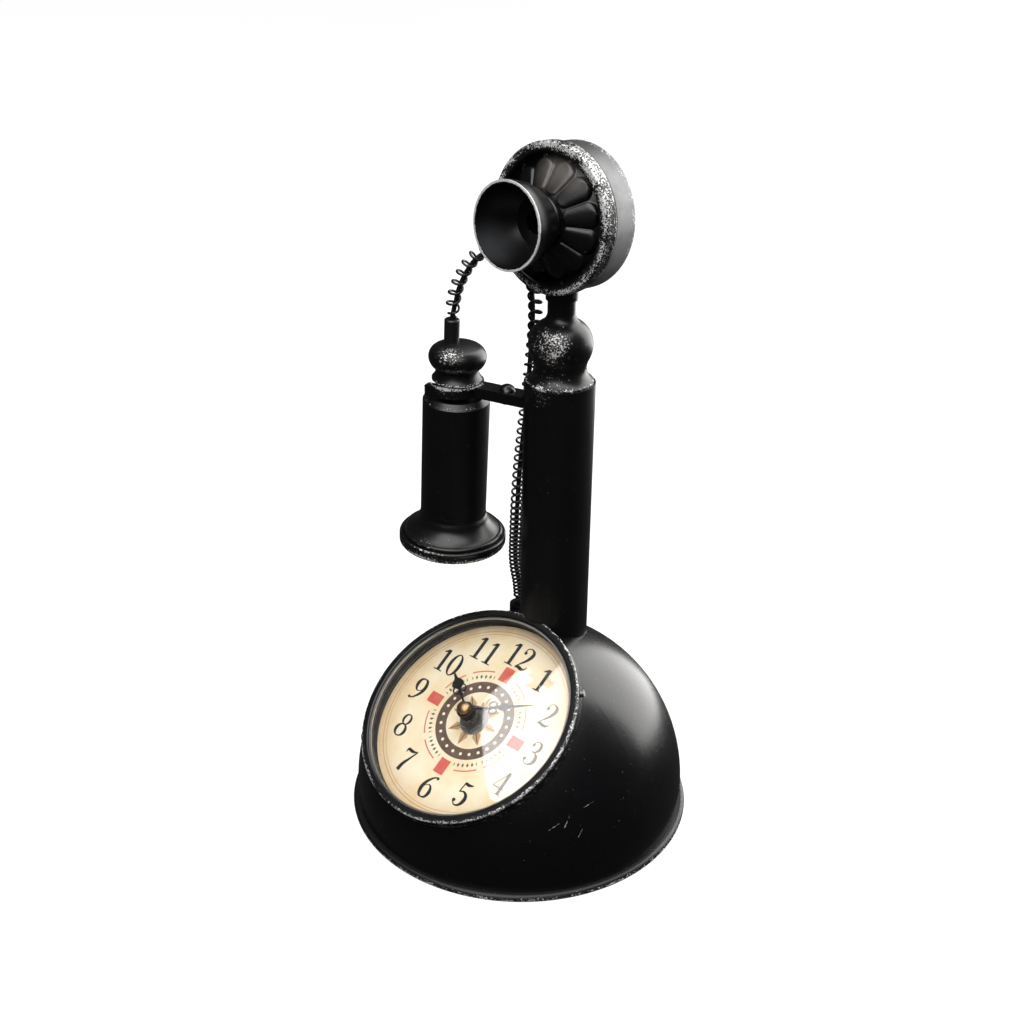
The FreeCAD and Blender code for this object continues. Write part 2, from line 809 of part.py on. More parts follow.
def wheel_disc(teeth, module, level, tooth_at, overlap=0):
    """Toothed disc at a level of the movement, wider by an overlap at both faces."""
    bottom = level.number + wheel_thickness.number
    return toothed(teeth, module, level.number - overlap, bottom + overlap, tooth_at)


cannon_teeth = 12
setting_teeth = 36
setting_leaves = 10
hour_teeth = 40
rotor_leaves = 10
fifth_teeth = 60
fifth_leaves = 10
second_teeth = 50
second_leaves = 8
third_teeth = 60
third_leaves = 8
centre_teeth = 64
cannon_module = 2 * setting_distance.number / (cannon_teeth + setting_teeth)
hour_module = 2 * setting_distance.number / (setting_leaves + hour_teeth)
rotor_module = 2 * rotor_distance.number / (rotor_leaves + fifth_teeth)
fifth_module = 2 * train_distance.number / (fifth_leaves + second_teeth)
third_module = 2 * train_distance.number / (second_leaves + third_teeth)
centre_module = 2 * train_distance.number / (third_leaves + centre_teeth)
leaf_overlap = wheel_gap.number / 3
arbor_end = back_inside + pivot_depth - running_gap
cannon_mesh = meshing(setting_teeth, setting_angle)
hour_mesh = meshing(hour_teeth, setting_angle + 180)
rotor_mesh = meshing(fifth_teeth, rotor_angle + 180)
fifth_mesh = meshing(second_teeth, fifth_angle + 180)
third_mesh = meshing(third_teeth, third_angle)
centre_mesh = meshing(centre_teeth, third_angle + 180)

stator_middle = stator_level + stator_thickness / 2
rotor_shape = bar(train_arbor_radius, plate_level + running_gap, arbor_end).multiFuse([
    bar(magnet_radius, stator_middle - magnet_length / 2, stator_middle + magnet_length / 2),
    wheel_disc(rotor_leaves, rotor_module, fifth_level, rotor_mesh[0], leaf_overlap)]).removeSplitter()
keep("rotor", feature("rotor", rotor_shape, movement_frame * at(*rotor_axis, 0)))
fifth_shape = bar(train_arbor_radius, plate_level + running_gap, arbor_end).multiFuse([
    wheel_disc(fifth_teeth, rotor_module, fifth_level, rotor_mesh[1]),
    wheel_disc(fifth_leaves, fifth_module, second_level, fifth_mesh[0], leaf_overlap)]).removeSplitter()
keep("fifth_wheel", feature("fifth_wheel", fifth_shape, movement_frame * at(*fifth_axis, 0)))
arbor_foot = centre_level + wheel_thickness + leaf_overlap
second_nose = arbor_foot - wheel_thickness + running_gap
second_shape = bar(train_arbor_radius, second_nose, arbor_end).multiFuse([
    wheel_disc(second_teeth, fifth_module, second_level, fifth_mesh[1]),
    toothed(second_leaves, third_module, third_level.number - leaf_overlap / 2,
            third_level.number + wheel_thickness.number + leaf_overlap, third_mesh[0])]).removeSplitter()
keep("second_wheel", feature("second_wheel", second_shape, movement_frame))
third_shape = bar(train_arbor_radius, plate_level + running_gap, arbor_end).multiFuse([
    wheel_disc(third_teeth, third_module, third_level, third_mesh[1]),
    wheel_disc(third_leaves, centre_module, centre_level, centre_mesh[0], leaf_overlap)]).removeSplitter()
keep("third_wheel", feature("third_wheel", third_shape, movement_frame * at(*third_axis, 0)))
centre_shape = wheel_disc(centre_teeth, centre_module, centre_level, centre_mesh[1]).cut(
    bar(hour_bore, plate_level, arbor_end))
keep("centre_wheel", feature("centre_wheel", centre_shape, movement_frame))

dial_rise = dial_top - case_front
hour_hand_height = bush_height + hand_lift
minute_hand_height = hour_hand_height + hand_gap
minute_seat = dial_rise + minute_hand_height
minute_tip = minute_seat + hand_thickness + hand_cap_height / 2
minute_shape = bar(minute_arbor_radius, -minute_seat, arbor_foot).multiFuse([
    bar(minute_tip_radius, -minute_tip, -minute_seat),
    wheel_disc(cannon_teeth, cannon_module, cannon_level, cannon_mesh[0], leaf_overlap)])
minute_shape = minute_shape.cut(bar(pivot_radius, second_nose - running_gap, arbor_foot)).removeSplitter()
keep("minute_arbor", feature("minute_arbor", minute_shape, movement_frame))
setting_shape = bar(setting_arbor_radius, case_front_wall - pivot_depth + running_gap,
                    case_depth + slip_gap + knob_height).multiFuse([
    wheel_disc(setting_teeth, cannon_module, cannon_level, cannon_mesh[1]),
    wheel_disc(setting_leaves, hour_module, hour_level, hour_mesh[0], leaf_overlap)]).removeSplitter()
keep("minute_wheel", feature("minute_wheel", setting_shape, movement_frame * at(*setting_axis, 0)))
hour_shape = wheel_disc(hour_teeth, hour_module, hour_level, hour_mesh[1]).fuse(
    bar(hour_pipe_radius, -(dial_rise + hour_hand_height + hand_thickness), hour_level + wheel_thickness))
hour_shape = hour_shape.cut(bar(hour_bore, -minute_seat, arbor_end)).removeSplitter()
keep("hour_wheel", feature("hour_wheel", hour_shape, movement_frame))

knob_flats = 18
knob_block = document.addObject("Part::Prism", "knob_block")
knob_block.Polygon = knob_flats
bind(knob_block, Circumradius=knob_radius, Height=knob_height)
knob_low = -(case_depth + slip_gap + knob_height)
knob_block.Placement = movement_frame * at(*setting_axis, knob_low)
knob_bore = rod("knob_bore", setting_arbor_radius, knob_low, -case_depth, movement_frame, *setting_axis)
keep("set_knob", cut("set_knob", knob_block, knob_bore))

# Hands at ten past ten, and the cap that holds them
minute_turn = -60
hour_turn = -305


def hand(name, length, leaf, leaf_start, leaf_widest, leaf_end, height, bore, turn):
    """Flat hand with a leaf on a stem and a round hub, pressed on its arbor."""
    frame = clock_frame * at(0, 0, dial_top + height, turn)
    foot = hand_hub_radius - hand_stem * 2
    blade = padded(name + "_blade", [
        (-hand_stem, foot),
        (hand_stem, foot),
        (hand_stem, leaf_start),
        (leaf, leaf_widest),
        (hand_tip, leaf_end),
        (0, length),
        (-hand_tip, leaf_end),
        (-leaf, leaf_widest),
        (-hand_stem, leaf_start)], hand_thickness, frame)
    hub = rod(name + "_hub", hand_hub_radius, 0, hand_thickness, frame)
    hole = rod(name + "_hole", bore, 0, hand_thickness, frame)
    return keep(name, cut(name, fuse(name + "_plate", blade, hub), hole))


hand("hour_hand", hour_hand_length, hour_leaf, hour_leaf_start, hour_leaf_widest, hour_leaf_end,
     hour_hand_height, hour_pipe_radius, hour_turn)
hand("minute_hand", minute_hand_length, minute_leaf, minute_leaf_start, minute_leaf_widest, minute_leaf_end,
     minute_hand_height, minute_tip_radius, minute_turn)
cap_low = dial_top + minute_hand_height + hand_thickness
cap_curve = bow(hand_cap_radius, hand_cap_crown)
keep("hand_cap", turned("hand_cap", [
    (minute_tip_radius, cap_low),
    (hand_cap_radius, cap_low),
    (hand_cap_radius, cap_low + hand_cap_height - hand_cap_crown),
    (0, cap_low + hand_cap_height, cap_curve, 1),
    (0, cap_low + hand_cap_height / 2),
    (minute_tip_radius, cap_low + hand_cap_height / 2)], clock_frame))

# Column: tube coped to the dome and round the bezel, with a turned finial pressed into its top
tube = ring("tube", column_radius - column_wall, column_radius, dome_centre_height, column_top, column_frame)
bezel_room = rod("bezel_room", bezel_radius + hang_gap, drum_rear, bezel_front + hang_gap, clock_frame)
keep("column_tube", cut("column_tube", tube, dome_ball, bezel_room))

finial_frame = column_frame * at(0, 0, column_top - finial_spigot)
spigot_radius = column_radius - column_wall - press_gap
finial_rim_radius = column_radius - finial_rim_inset
waist_level = finial_spigot + finial_waist_height
foot_cove = bow(finial_waist_height - finial_rim_height, finial_rim_radius - finial_waist_radius)
ball_middle = finial_spigot + ball_height
ball_foot = ball_middle - chord(ball_radius, ball_foot_radius)
ball_cove = bow(ball_foot - waist_level, ball_foot_radius - finial_waist_radius)
shoulder_level = ball_middle + shoulder_rise
shoulder_curve = bow(shoulder_rise, ball_radius - shoulder_radius)
neck_cove = bow(neck_rise, shoulder_radius - neck_radius)
keep("finial", turned("finial", [
    (0, 0),
    (spigot_radius, 0),
    (spigot_radius, finial_spigot),
    (finial_rim_radius, finial_spigot),
    (finial_rim_radius, finial_spigot + finial_rim_height),
    (finial_waist_radius, waist_level, foot_cove, -1),
    (ball_foot_radius, ball_foot, ball_cove, -1),
    (ball_radius, ball_middle, ball_radius, 1),
    (shoulder_radius, shoulder_level, shoulder_curve, 1),
    (neck_radius, shoulder_level + neck_rise, neck_cove, -1),
    (neck_radius, finial_spigot + neck_top),
    (0, finial_spigot + neck_top)], finial_frame))

# Transmitter head: cup, front ring, embossed conical face and mouthpiece on its hub
ring_rear = cup_depth + groove_width
cup_spigot_radius = cup_radius - cup_step
ring_radius = cup_radius + ring_overhang
face_front = head_length - ring_lip_depth
face_seat = face_front - face_thickness
keep("transmitter_cup", turned("transmitter_cup", [
    (0, 0),
    (cup_radius - cup_round, 0),
    (cup_radius, cup_round, cup_round, 1),
    (cup_radius, cup_depth),
    (cup_spigot_radius, cup_depth),
    (cup_spigot_radius, face_seat),
    (cup_spigot_radius - cup_wall, face_seat),
    (cup_spigot_radius - cup_wall, cup_wall),
    (0, cup_wall)], head_frame))
ring_lip_inner = ring_radius - ring_lip_width
keep("front_ring", turned("front_ring", [
    (cup_spigot_radius + press_gap, ring_rear),
    (ring_radius - ring_round, ring_rear),
    (ring_radius, ring_rear + ring_round, ring_round, 1),
    (ring_radius, head_length - ring_round),
    (ring_radius - ring_round, head_length, ring_round, 1),
    (ring_lip_inner + ring_round, head_length),
    (ring_lip_inner, head_length - ring_round, ring_round, 1),
    (ring_lip_inner, face_front),
    (cup_spigot_radius + press_gap, face_front)], head_frame))

petal_count = 12
petal_inner_radius = horn_foot_radius + petal_gap
petal_outer_radius = ring_lip_inner - petal_margin
petal_foot = petal_width / 8
petal_cheek = petal_outer_radius - petal_width / 2
face_bore = horn_spigot_radius + press_gap
hub_radius = horn_foot_radius + face_hub_margin
cone_foot_radius = ring_lip_inner - face_rim_margin
face_slope = math.atan2(face_rise.number, (cone_foot_radius - hub_radius).number)
slope_share = math.cos(face_slope)
face_body = turned("face_plate", [
    (face_bore, face_rise),
    (hub_radius, face_rise),
    (cone_foot_radius, 0),
    (cup_spigot_radius, 0),
    (cup_spigot_radius, face_thickness),
    (cone_foot_radius, face_thickness),
    (hub_radius, face_rise + face_thickness),
    (face_bore, face_rise + face_thickness)], head_frame * at(0, 0, face_seat))
petal_start = (petal_inner_radius - cone_foot_radius) / slope_share
petal_end = (petal_cheek - cone_foot_radius) / slope_share
petal_sketch = outline(face_body, "petal_outline", "XY_Plane", [
    (-petal_foot, petal_start),
    (petal_foot, petal_start),
    (petal_width / 2, petal_end),
    (-petal_width / 2, petal_end, petal_tip_round, 1)])
petal_sketch.AttachmentOffset = FreeCAD.Placement(
    Vector(0, cone_foot_radius.number, 0), FreeCAD.Rotation(Vector(1, 0, 0), -math.degrees(face_slope)))
petal_pad = face_body.newObject("PartDesign::Pad", "petal_pad")
petal_pad.Profile = petal_sketch
bind(petal_pad, Length=face_thickness * slope_share + petal_rise)
document.recompute()
petal_ring = face_body.newObject("PartDesign::PolarPattern", "petal_ring")
petal_ring.Originals = [petal_pad]
petal_ring.Axis = (origin_of(face_body, "Z_Axis"), [""])
petal_ring.Angle = 360
petal_ring.Occurrences = petal_count
face_body.Tip = petal_ring
keep("face_plate", face_body)

hub_front = face_front + face_rise
hub_seat = face_seat + face_rise
horn_mouth = hub_front + horn_length
horn_throat = hub_front + horn_throat_height
keep("mouthpiece", turned("mouthpiece", [
    (horn_bore_radius, hub_front - horn_spigot_length),
    (horn_spigot_radius, hub_front - horn_spigot_length),
    (horn_spigot_radius, hub_front),
    (horn_foot_radius, hub_front),
    (horn_foot_radius, hub_front + horn_foot_height),
    (horn_throat_radius, horn_throat),
    (horn_mouth_radius, horn_mouth, horn_bell_round, 1),
    (horn_mouth_radius - horn_wall, horn_mouth),
    (horn_throat_radius, horn_throat + horn_wall, horn_bell_round, -1),
    (horn_bore_radius, horn_throat + horn_wall)], head_frame))
keep("mouthpiece_nut", ring("mouthpiece_nut", horn_spigot_radius + press_gap, horn_nut_radius,
                            hub_seat - horn_nut_height, hub_seat, head_frame))

cup_room = rod("cup_room", cup_radius, -collar_radius, ring_rear, head_frame)
ring_room = rod("ring_room", ring_radius + slip_gap, ring_rear - slip_gap, head_length * 2, head_frame)
collar_blank = rod("collar_blank", collar_radius, column_top + neck_top,
                   head_height - cup_radius + collar_radius, column_frame)
keep("neck_collar", cut("neck_collar", collar_blank, cup_room, ring_room))

# Hook: a bracket welded to the column, a fork whose tail lies on it and the rivet through both
bracket_length = hook_reach - receiver_radius - bracket_gap
fork_tail = column_radius + fork_gap
rivet_place = column_radius + rivet_offset
column_core = rod("column_core", column_radius, 0, column_top, column_frame)
rivet_hole = rod("rivet_hole", rivet_radius, hook_height, fork_top, hook_frame, rivet_place)
half_hook = hook_width / 2
bracket_bar = block("bracket_bar", (column_radius - half_hook, -half_hook, hook_height),
                    (bracket_length, half_hook, bracket_top), hook_frame)
keep("hook_bracket", cut("hook_bracket", bracket_bar, column_core, rivet_hole))
fork_inner = hanger_radius + hang_gap
fork_outer = fork_inner + fork_width
fork_arm = block("fork_arm", (fork_tail, -half_hook, bracket_top),
                 (hook_reach, half_hook, fork_top), hook_frame)
fork_root = block("fork_root", (bracket_length + slip_gap, -half_hook, hook_height),
                  (hook_reach, half_hook, fork_top), hook_frame)
fork_eye = rod("fork_eye", fork_outer, hook_height, fork_top, hook_frame, hook_reach)
fork_prongs = block("fork_prongs", (hook_reach, -fork_outer, hook_height),
                    (hook_reach + fork_prong, fork_outer, fork_top), hook_frame)
fork_throat = rod("fork_throat", fork_inner, hook_height, fork_top, hook_frame, hook_reach)
fork_slot = block("fork_slot", (hook_reach, -fork_inner, hook_height),
                  (hook_reach + fork_outer, fork_inner, fork_top), hook_frame)
fork_blank = fuse("fork_blank", fork_arm, fork_root, fork_eye, fork_prongs)
keep("hook_fork", cut("hook_fork", fork_blank, fork_throat, fork_slot, rivet_hole))
rivet_seat = rivet_tail_height + hook_plate * 2
rivet_curve = bow(rivet_head_radius, rivet_head_height)
keep("hook_rivet", turned("hook_rivet", [
    (0, 0),
    (rivet_tail_radius, 0),
    (rivet_tail_radius, rivet_tail_height),
    (rivet_radius, rivet_tail_height),
    (rivet_radius, rivet_seat),
    (rivet_head_radius, rivet_seat),
    (0, rivet_seat + rivet_head_height, rivet_curve, 1)],
    hook_frame * at(rivet_place, 0, hook_height - rivet_tail_height)))

# Receiver: hollow body with an ear cap, a knob by whose neck it hangs a little askew, and a cord ferrule
receiver_hang = receiver_length + receiver_drop + hook_plate
receiver_tilt = FreeCAD.Placement(Vector(), FreeCAD.Rotation(Vector(0, 1, 0), -receiver_lean.number))
receiver_frame = hook_frame * at(hook_reach, 0, bracket_top) * receiver_tilt * at(0, 0, -receiver_hang)
receiver_bore = receiver_radius - receiver_wall
ear_cap_radius = receiver_lip_radius - ear_cap_margin
lip_edge_radius = receiver_lip_radius - receiver_lip_round
bead_top = receiver_lip_height + receiver_bead_height
bead_top_radius = receiver_bead_radius - receiver_bead_step
flare_foot_radius = bead_top_radius - receiver_flare_step
flare_curve = bow(receiver_flare_height - bead_top, flare_foot_radius - receiver_radius)
keep("receiver_body", turned("receiver_body", [
    (ear_cap_radius + press_gap, 0),
    (lip_edge_radius, 0),
    (receiver_lip_radius, receiver_lip_round, receiver_lip_round, 1),
    (receiver_lip_radius, receiver_lip_height - receiver_lip_round),
    (lip_edge_radius, receiver_lip_height, receiver_lip_round, 1),
    (receiver_bead_radius, receiver_lip_height),
    (bead_top_radius, bead_top, receiver_bead_round, 1),
    (flare_foot_radius, bead_top),
    (receiver_radius, receiver_flare_height, flare_curve, -1),
    (receiver_radius, receiver_length - receiver_shoulder),
    (receiver_radius - receiver_shoulder, receiver_length),
    (hanger_spigot_radius, receiver_length),
    (hanger_spigot_radius, receiver_length - receiver_roof),
    (receiver_bore, receiver_length - receiver_roof),
    (receiver_bore, ear_cap_thickness),
    (ear_cap_radius + press_gap, ear_cap_thickness)], receiver_frame))
keep("receiver_cap", ring("receiver_cap", ear_hole_radius, ear_cap_radius, 0, ear_cap_thickness,
                          receiver_frame))

knob_frame = receiver_frame * at(0, 0, receiver_length - receiver_roof)
skirt_radius = hanger_radius + skirt_overhang
skirt_lift = hang_gap + skirt_radius * math.sin(math.radians(receiver_lean.number))
skirt_level = receiver_roof + receiver_drop + hook_plate * 2 + skirt_lift
waist_top = skirt_level + waist_height
knob_middle = skirt_level + knob_ball_height
knob_shoulder = knob_middle + knob_shoulder_rise
knob_top = knob_shoulder + knob_crown
waist_curve = bow(waist_height - skirt_edge, skirt_radius - waist_radius)
cheek_curve = bow(knob_ball_height - waist_height, knob_ball_radius - waist_radius)
knob_shoulder_curve = bow(knob_shoulder_rise, knob_ball_radius - knob_shoulder_radius)
knob_blank = turned("knob_blank", [
    (0, 0),
    (hanger_spigot_radius - press_gap, 0),
    (hanger_spigot_radius - press_gap, receiver_roof),
    (hanger_radius, receiver_roof),
    (hanger_radius, skirt_level),
    (skirt_radius, skirt_level),
    (skirt_radius, skirt_level + skirt_edge),
    (waist_radius, waist_top, waist_curve, -1),
    (knob_ball_radius, knob_middle, cheek_curve, 1),
    (knob_shoulder_radius, knob_shoulder, knob_shoulder_curve, 1),
    (0, knob_top, bow(knob_shoulder_radius, knob_crown), 1)], knob_frame)
ferrule_low = knob_top - ferrule_seat
ferrule_hole = rod("ferrule_hole", ferrule_radius + press_gap, ferrule_low, knob_top + ferrule_seat,
                   knob_frame, ferrule_offset)
keep("receiver_knob", cut("receiver_knob", knob_blank, ferrule_hole))
ferrule_top = ferrule_seat + ferrule_length
ferrule_frame = knob_frame * at(ferrule_offset, 0, ferrule_low)
keep("cord_ferrule", turned("cord_ferrule", [
    (0, 0),
    (ferrule_radius, 0),
    (ferrule_radius, ferrule_top - ferrule_chamfer),
    (ferrule_radius - ferrule_chamfer, ferrule_top),
    (0, ferrule_top)], ferrule_frame))

# Curly cord as one tube of its outer size, from the ferrule over beside the head and down to the gland
cord_start = ferrule_frame.multVec(Vector(0, 0, ferrule_top.number))
cord_rise = ferrule_frame.Rotation.multVec(Vector(0, 0, cord_lead.number))
cord_end = Vector(gland_across.number, gland_back.number, gland_top.number)
cord_route = [
    cord_start,
    cord_start + cord_rise,
    Vector(-43.4, 9.5, 220.5),
    Vector(-39.6, 12.4, 228.2),
    Vector(-33.8, 16.6, 232.6),
    Vector(-27.6, 21.2, 231.8),
    Vector(-22.6, 24.8, 226.2),
    Vector(-20.0, 26.4, 217.0),
    Vector(-19.2, 26.5, 205.5),
    Vector(-19.8, 25.9, 191.8),
    Vector(-21.0, 25.2, 177.0),
    Vector(-22.4, 24.5, 160.0),
    Vector(-24.1, 24.0, 142.5),
    Vector(-25.8, 24.5, 124.5),
    Vector(-27.4, 25.6, 107.5),
    Vector(-28.8, 26.6, 92.0),
    cord_end + Vector(0, 0, cord_lead.number),
    cord_end]


def rounded_route(points, share=0.45):
    """Straight runs joined by tangent arcs, each as large as a share of its shorter run allows."""
    edges = []
    radii = []
    last = points[0]
    for before, corner, after in zip(points, points[1:], points[2:]):
        back = before - corner
        ahead = after - corner
        reach = share * min(back.Length, ahead.Length)
        half_turn = (math.pi - back.getAngle(ahead)) / 2
        radius = reach / math.tan(half_turn)
        back.normalize()
        ahead.normalize()
        first = corner + back * reach
        final = corner + ahead * reach
        inward = (back + ahead).normalize()
        middle = corner + inward * (radius / math.cos(half_turn) - radius)
        edges.append(Part.LineSegment(last, first).toShape())
        edges.append(Part.Arc(first, middle, final).toShape())
        radii.append(radius)
        last = final
    edges.append(Part.LineSegment(last, points[-1]).toShape())
    return Part.Wire(edges), radii


cord_wire, cord_radii = rounded_route(cord_route)
cord_section = Part.Wire(Part.makeCircle(cord_radius.number, cord_start, cord_route[1] - cord_start))
cord_shape = cord_wire.makePipeShell([cord_section], True, True)
keep("curly_cord", feature("curly_cord", cord_shape, FreeCAD.Placement()))
print("cord radii", [round(radius, 1) for radius in cord_radii])
print("cord length", round(cord_wire.Length, 1))
cord_volume = math.pi * cord_radius.number ** 2 * cord_wire.Length
print("cord volume ratio", round(cord_shape.Volume / cord_volume, 4))

# Check every object, then write one file for each piece
document.recompute()
broken = [item.Label for item in document.Objects if "Invalid" in item.State or "Error" in item.State]
if broken:
    raise RuntimeError("not built: " + ", ".join(broken))
for label, piece in nodes.items():
    if piece.Shape.isNull() or not piece.Shape.isValid():
        raise RuntimeError(f"{label} has no valid shape")
os.makedirs("parts", exist_ok=True)
for label, piece in nodes.items():
    piece.Shape.exportStep(f"parts/{label}.step")
print("pieces", len(nodes))
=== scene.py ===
import math
import bpy
import numpy as np
from mathutils import Matrix, Vector


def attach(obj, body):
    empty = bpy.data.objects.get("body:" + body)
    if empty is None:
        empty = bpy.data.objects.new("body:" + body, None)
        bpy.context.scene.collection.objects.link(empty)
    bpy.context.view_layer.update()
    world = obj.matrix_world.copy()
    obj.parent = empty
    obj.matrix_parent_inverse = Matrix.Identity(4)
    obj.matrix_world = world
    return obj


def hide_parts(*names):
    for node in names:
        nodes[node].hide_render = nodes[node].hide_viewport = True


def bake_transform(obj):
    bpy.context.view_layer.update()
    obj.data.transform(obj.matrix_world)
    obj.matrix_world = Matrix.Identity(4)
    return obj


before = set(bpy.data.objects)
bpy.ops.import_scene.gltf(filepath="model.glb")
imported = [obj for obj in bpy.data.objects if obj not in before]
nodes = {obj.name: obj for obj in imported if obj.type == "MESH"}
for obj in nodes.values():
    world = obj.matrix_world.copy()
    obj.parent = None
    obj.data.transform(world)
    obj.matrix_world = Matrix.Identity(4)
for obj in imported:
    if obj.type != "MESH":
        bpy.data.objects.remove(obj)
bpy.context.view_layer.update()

# Studio: a pale floor with a pale wall round it, a large overhead softbox whose reflection veils the clock
# glass, and a tall panel behind on the right that lights the edge of the black paint. The camera stands
# where the photograph was taken from.
camera_azimuth = math.radians(42.602)
camera_distance = 0.52144
camera_height = 0.3990
camera_yaw = math.radians(0.480)
camera_pitch = math.radians(26.780)
camera_roll = math.radians(0.646)
focal_pixels = 1485.14
image_width = 1024
camera = bpy.data.cameras.new("photo_camera")
camera.sensor_width = 36
camera.lens = focal_pixels * camera.sensor_width / image_width
camera.clip_start = 0.01
camera_object = bpy.data.objects.new("photo_camera", camera)
bpy.context.scene.collection.objects.link(camera_object)
camera_place = Matrix.Translation(Vector((
    math.sin(camera_azimuth) * camera_distance, -math.cos(camera_azimuth) * camera_distance, camera_height)))
camera_object.matrix_world = (
    camera_place @ Matrix.Rotation(camera_azimuth + camera_yaw, 4, "Z")
    @ Matrix.Rotation(math.pi / 2 - camera_pitch, 4, "X") @ Matrix.Rotation(camera_roll, 4, "Z"))
bpy.context.scene.camera = camera_object
bpy.context.scene.view_settings.view_transform = "Standard"


class Signal:
    """A shader socket that takes part in sums: each operator adds a Math node to the socket's finish."""

    def __init__(self, finish, socket):
        self.finish = finish
        self.socket = socket

    def maths(self, operation, left, right):
        return self.finish.add("ShaderNodeMath", {"operation": operation}, {0: left, 1: right})

    def __add__(self, other):
        return self.maths("ADD", self, other)

    def __radd__(self, other):
        return self.maths("ADD", other, self)

    def __sub__(self, other):
        return self.maths("SUBTRACT", self, other)

    def __rsub__(self, other):
        return self.maths("SUBTRACT", other, self)

    def __mul__(self, other):
        return self.maths("MULTIPLY", self, other)

    def __rmul__(self, other):
        return self.maths("MULTIPLY", other, self)

    def __pow__(self, other):
        return self.maths("POWER", self, other)

    def __abs__(self):
        return self.maths("ABSOLUTE", self, 0.0)


class Finish:
    """A material in the making: its node tree, its shader and one way to add any other node."""

    def __init__(self, name):
        self.material = bpy.data.materials.new(name)
        self.material.use_nodes = True
        self.tree = self.material.node_tree
        self.shader = self.tree.nodes["Principled BSDF"]

    def feed(self, socket, value):
        """Link a signal to a socket, or set a plain value on it."""
        if isinstance(value, Signal):
            self.tree.links.new(value.socket, socket)
        else:
            socket.default_value = value

    def add(self, kind, settings, sockets, output=0):
        """Any node: its settings first, then the values or signals of its sockets."""
        node = self.tree.nodes.new(kind)
        for name, value in settings.items():
            setattr(node, name, value)
        for name, value in sockets.items():
            self.feed(node.inputs[name], value)
        return Signal(self, node.outputs[output])

    def set(self, **sockets):
        """Values or signals of the shader's own sockets."""
        for name, value in sockets.items():
            self.feed(self.shader.inputs[name.replace("_", " ")], value)
        return self.material

    def place(self):
        """Where a point lies in the shared frame."""
        return self.add("ShaderNodeTexCoord", {}, {}, "Object")

    def noise(self, place, size, detail=3.0, roughness=0.55):
        """Noise whose spots are about one size across, in metres."""
        return self.add("ShaderNodeTexNoise", {}, {
            "Vector": place, "Scale": 1 / size, "Detail": detail, "Roughness": roughness})

    def step(self, value, low, high):
        """Smooth rise from 0 at low to 1 at high."""
        return self.add("ShaderNodeMapRange", {"interpolation_type": "SMOOTHSTEP"}, {
            "Value": value, "From Min": low, "From Max": high})

    def mix(self, share, first, second):
        """Colour between two colours."""
        return self.add("ShaderNodeMix", {"data_type": "RGBA"}, {0: share, 6: first, 7: second}, 2)

    def bump(self, height, distance, strength=1.0):
        """Fine relief: a height of one stands a distance proud, in metres."""
        return self.add("ShaderNodeBump", {}, {"Height": height, "Distance": distance, "Strength": strength})

    def round_place(self, place, origin, axis):
        """Distance from an axis, and height along it from its origin."""
        offset = self.add("ShaderNodeVectorMath", {"operation": "SUBTRACT"}, {0: place, 1: origin})
        height = self.add("ShaderNodeVectorMath", {"operation": "DOT_PRODUCT"}, {0: offset, 1: axis}, 1)
        length = self.add("ShaderNodeVectorMath", {"operation": "LENGTH"}, {0: offset}, 1)
        return (length * length - height * height) ** 0.5, height


def stage_piece(name, points, faces, material):
    """Piece of the studio, which is no part of the object."""
    mesh = bpy.data.meshes.new(name)
    mesh.from_pydata(points, [], faces)
    mesh.materials.append(material)
    piece = bpy.data.objects.new(name, mesh)
    bpy.context.scene.collection.objects.link(piece)
    return piece


def light_panel(name, corners, strength):
    """Flat panel through its corners that glows evenly and that the camera doesn't see."""
    glow = Finish(name).set(
        Base_Color=(0, 0, 0, 1), Emission_Color=(1, 0.99, 0.97, 1), Emission_Strength=strength)
    panel = stage_piece(name, corners, [list(range(len(corners)))], glow)
    panel.visible_camera = False


def background(name, points, faces, shade):
    """Dull background of one shade that glows nearly white and throws no light on the object."""
    paper_white = Finish(name).set(
        Base_Color=(shade, shade, shade, 1), Roughness=1.0, Specular_IOR_Level=0.0,
        Emission_Color=(1, 1, 1, 1), Emission_Strength=0.97)
    piece = stage_piece(name, points, faces, paper_white)
    piece.visible_glossy = False
    piece.visible_diffuse = False
    return piece


# The softbox's corners are slopes to the side and to the back, seen from the middle of the clock glass.
softbox_rise = 1.25
softbox_glow = 4.2
softbox_slopes = [(-0.20, 0.75), (-0.41, -0.30), (0.46, -1.92), (1.05, -1.60), (0.95, -0.30), (0.45, 0.55)]
glass_y = -0.03
glass_z = 0.065
light_panel("overhead_softbox", [
    (x * softbox_rise, y * softbox_rise + glass_y, softbox_rise + glass_z)
    for x, y in softbox_slopes], softbox_glow)
# The rear panel's corners are bearings round the object, in degrees, and heights.
panel_distance = 1.2
panel_glow = 4.6
panel_corners = [(143, 0.12), (196, -0.30), (196, 1.50), (143, 1.50)]
light_panel("rear_panel", [
    (math.sin(math.radians(bearing)) * panel_distance, -math.cos(math.radians(bearing)) * panel_distance,
     height) for bearing, height in panel_corners], panel_glow)

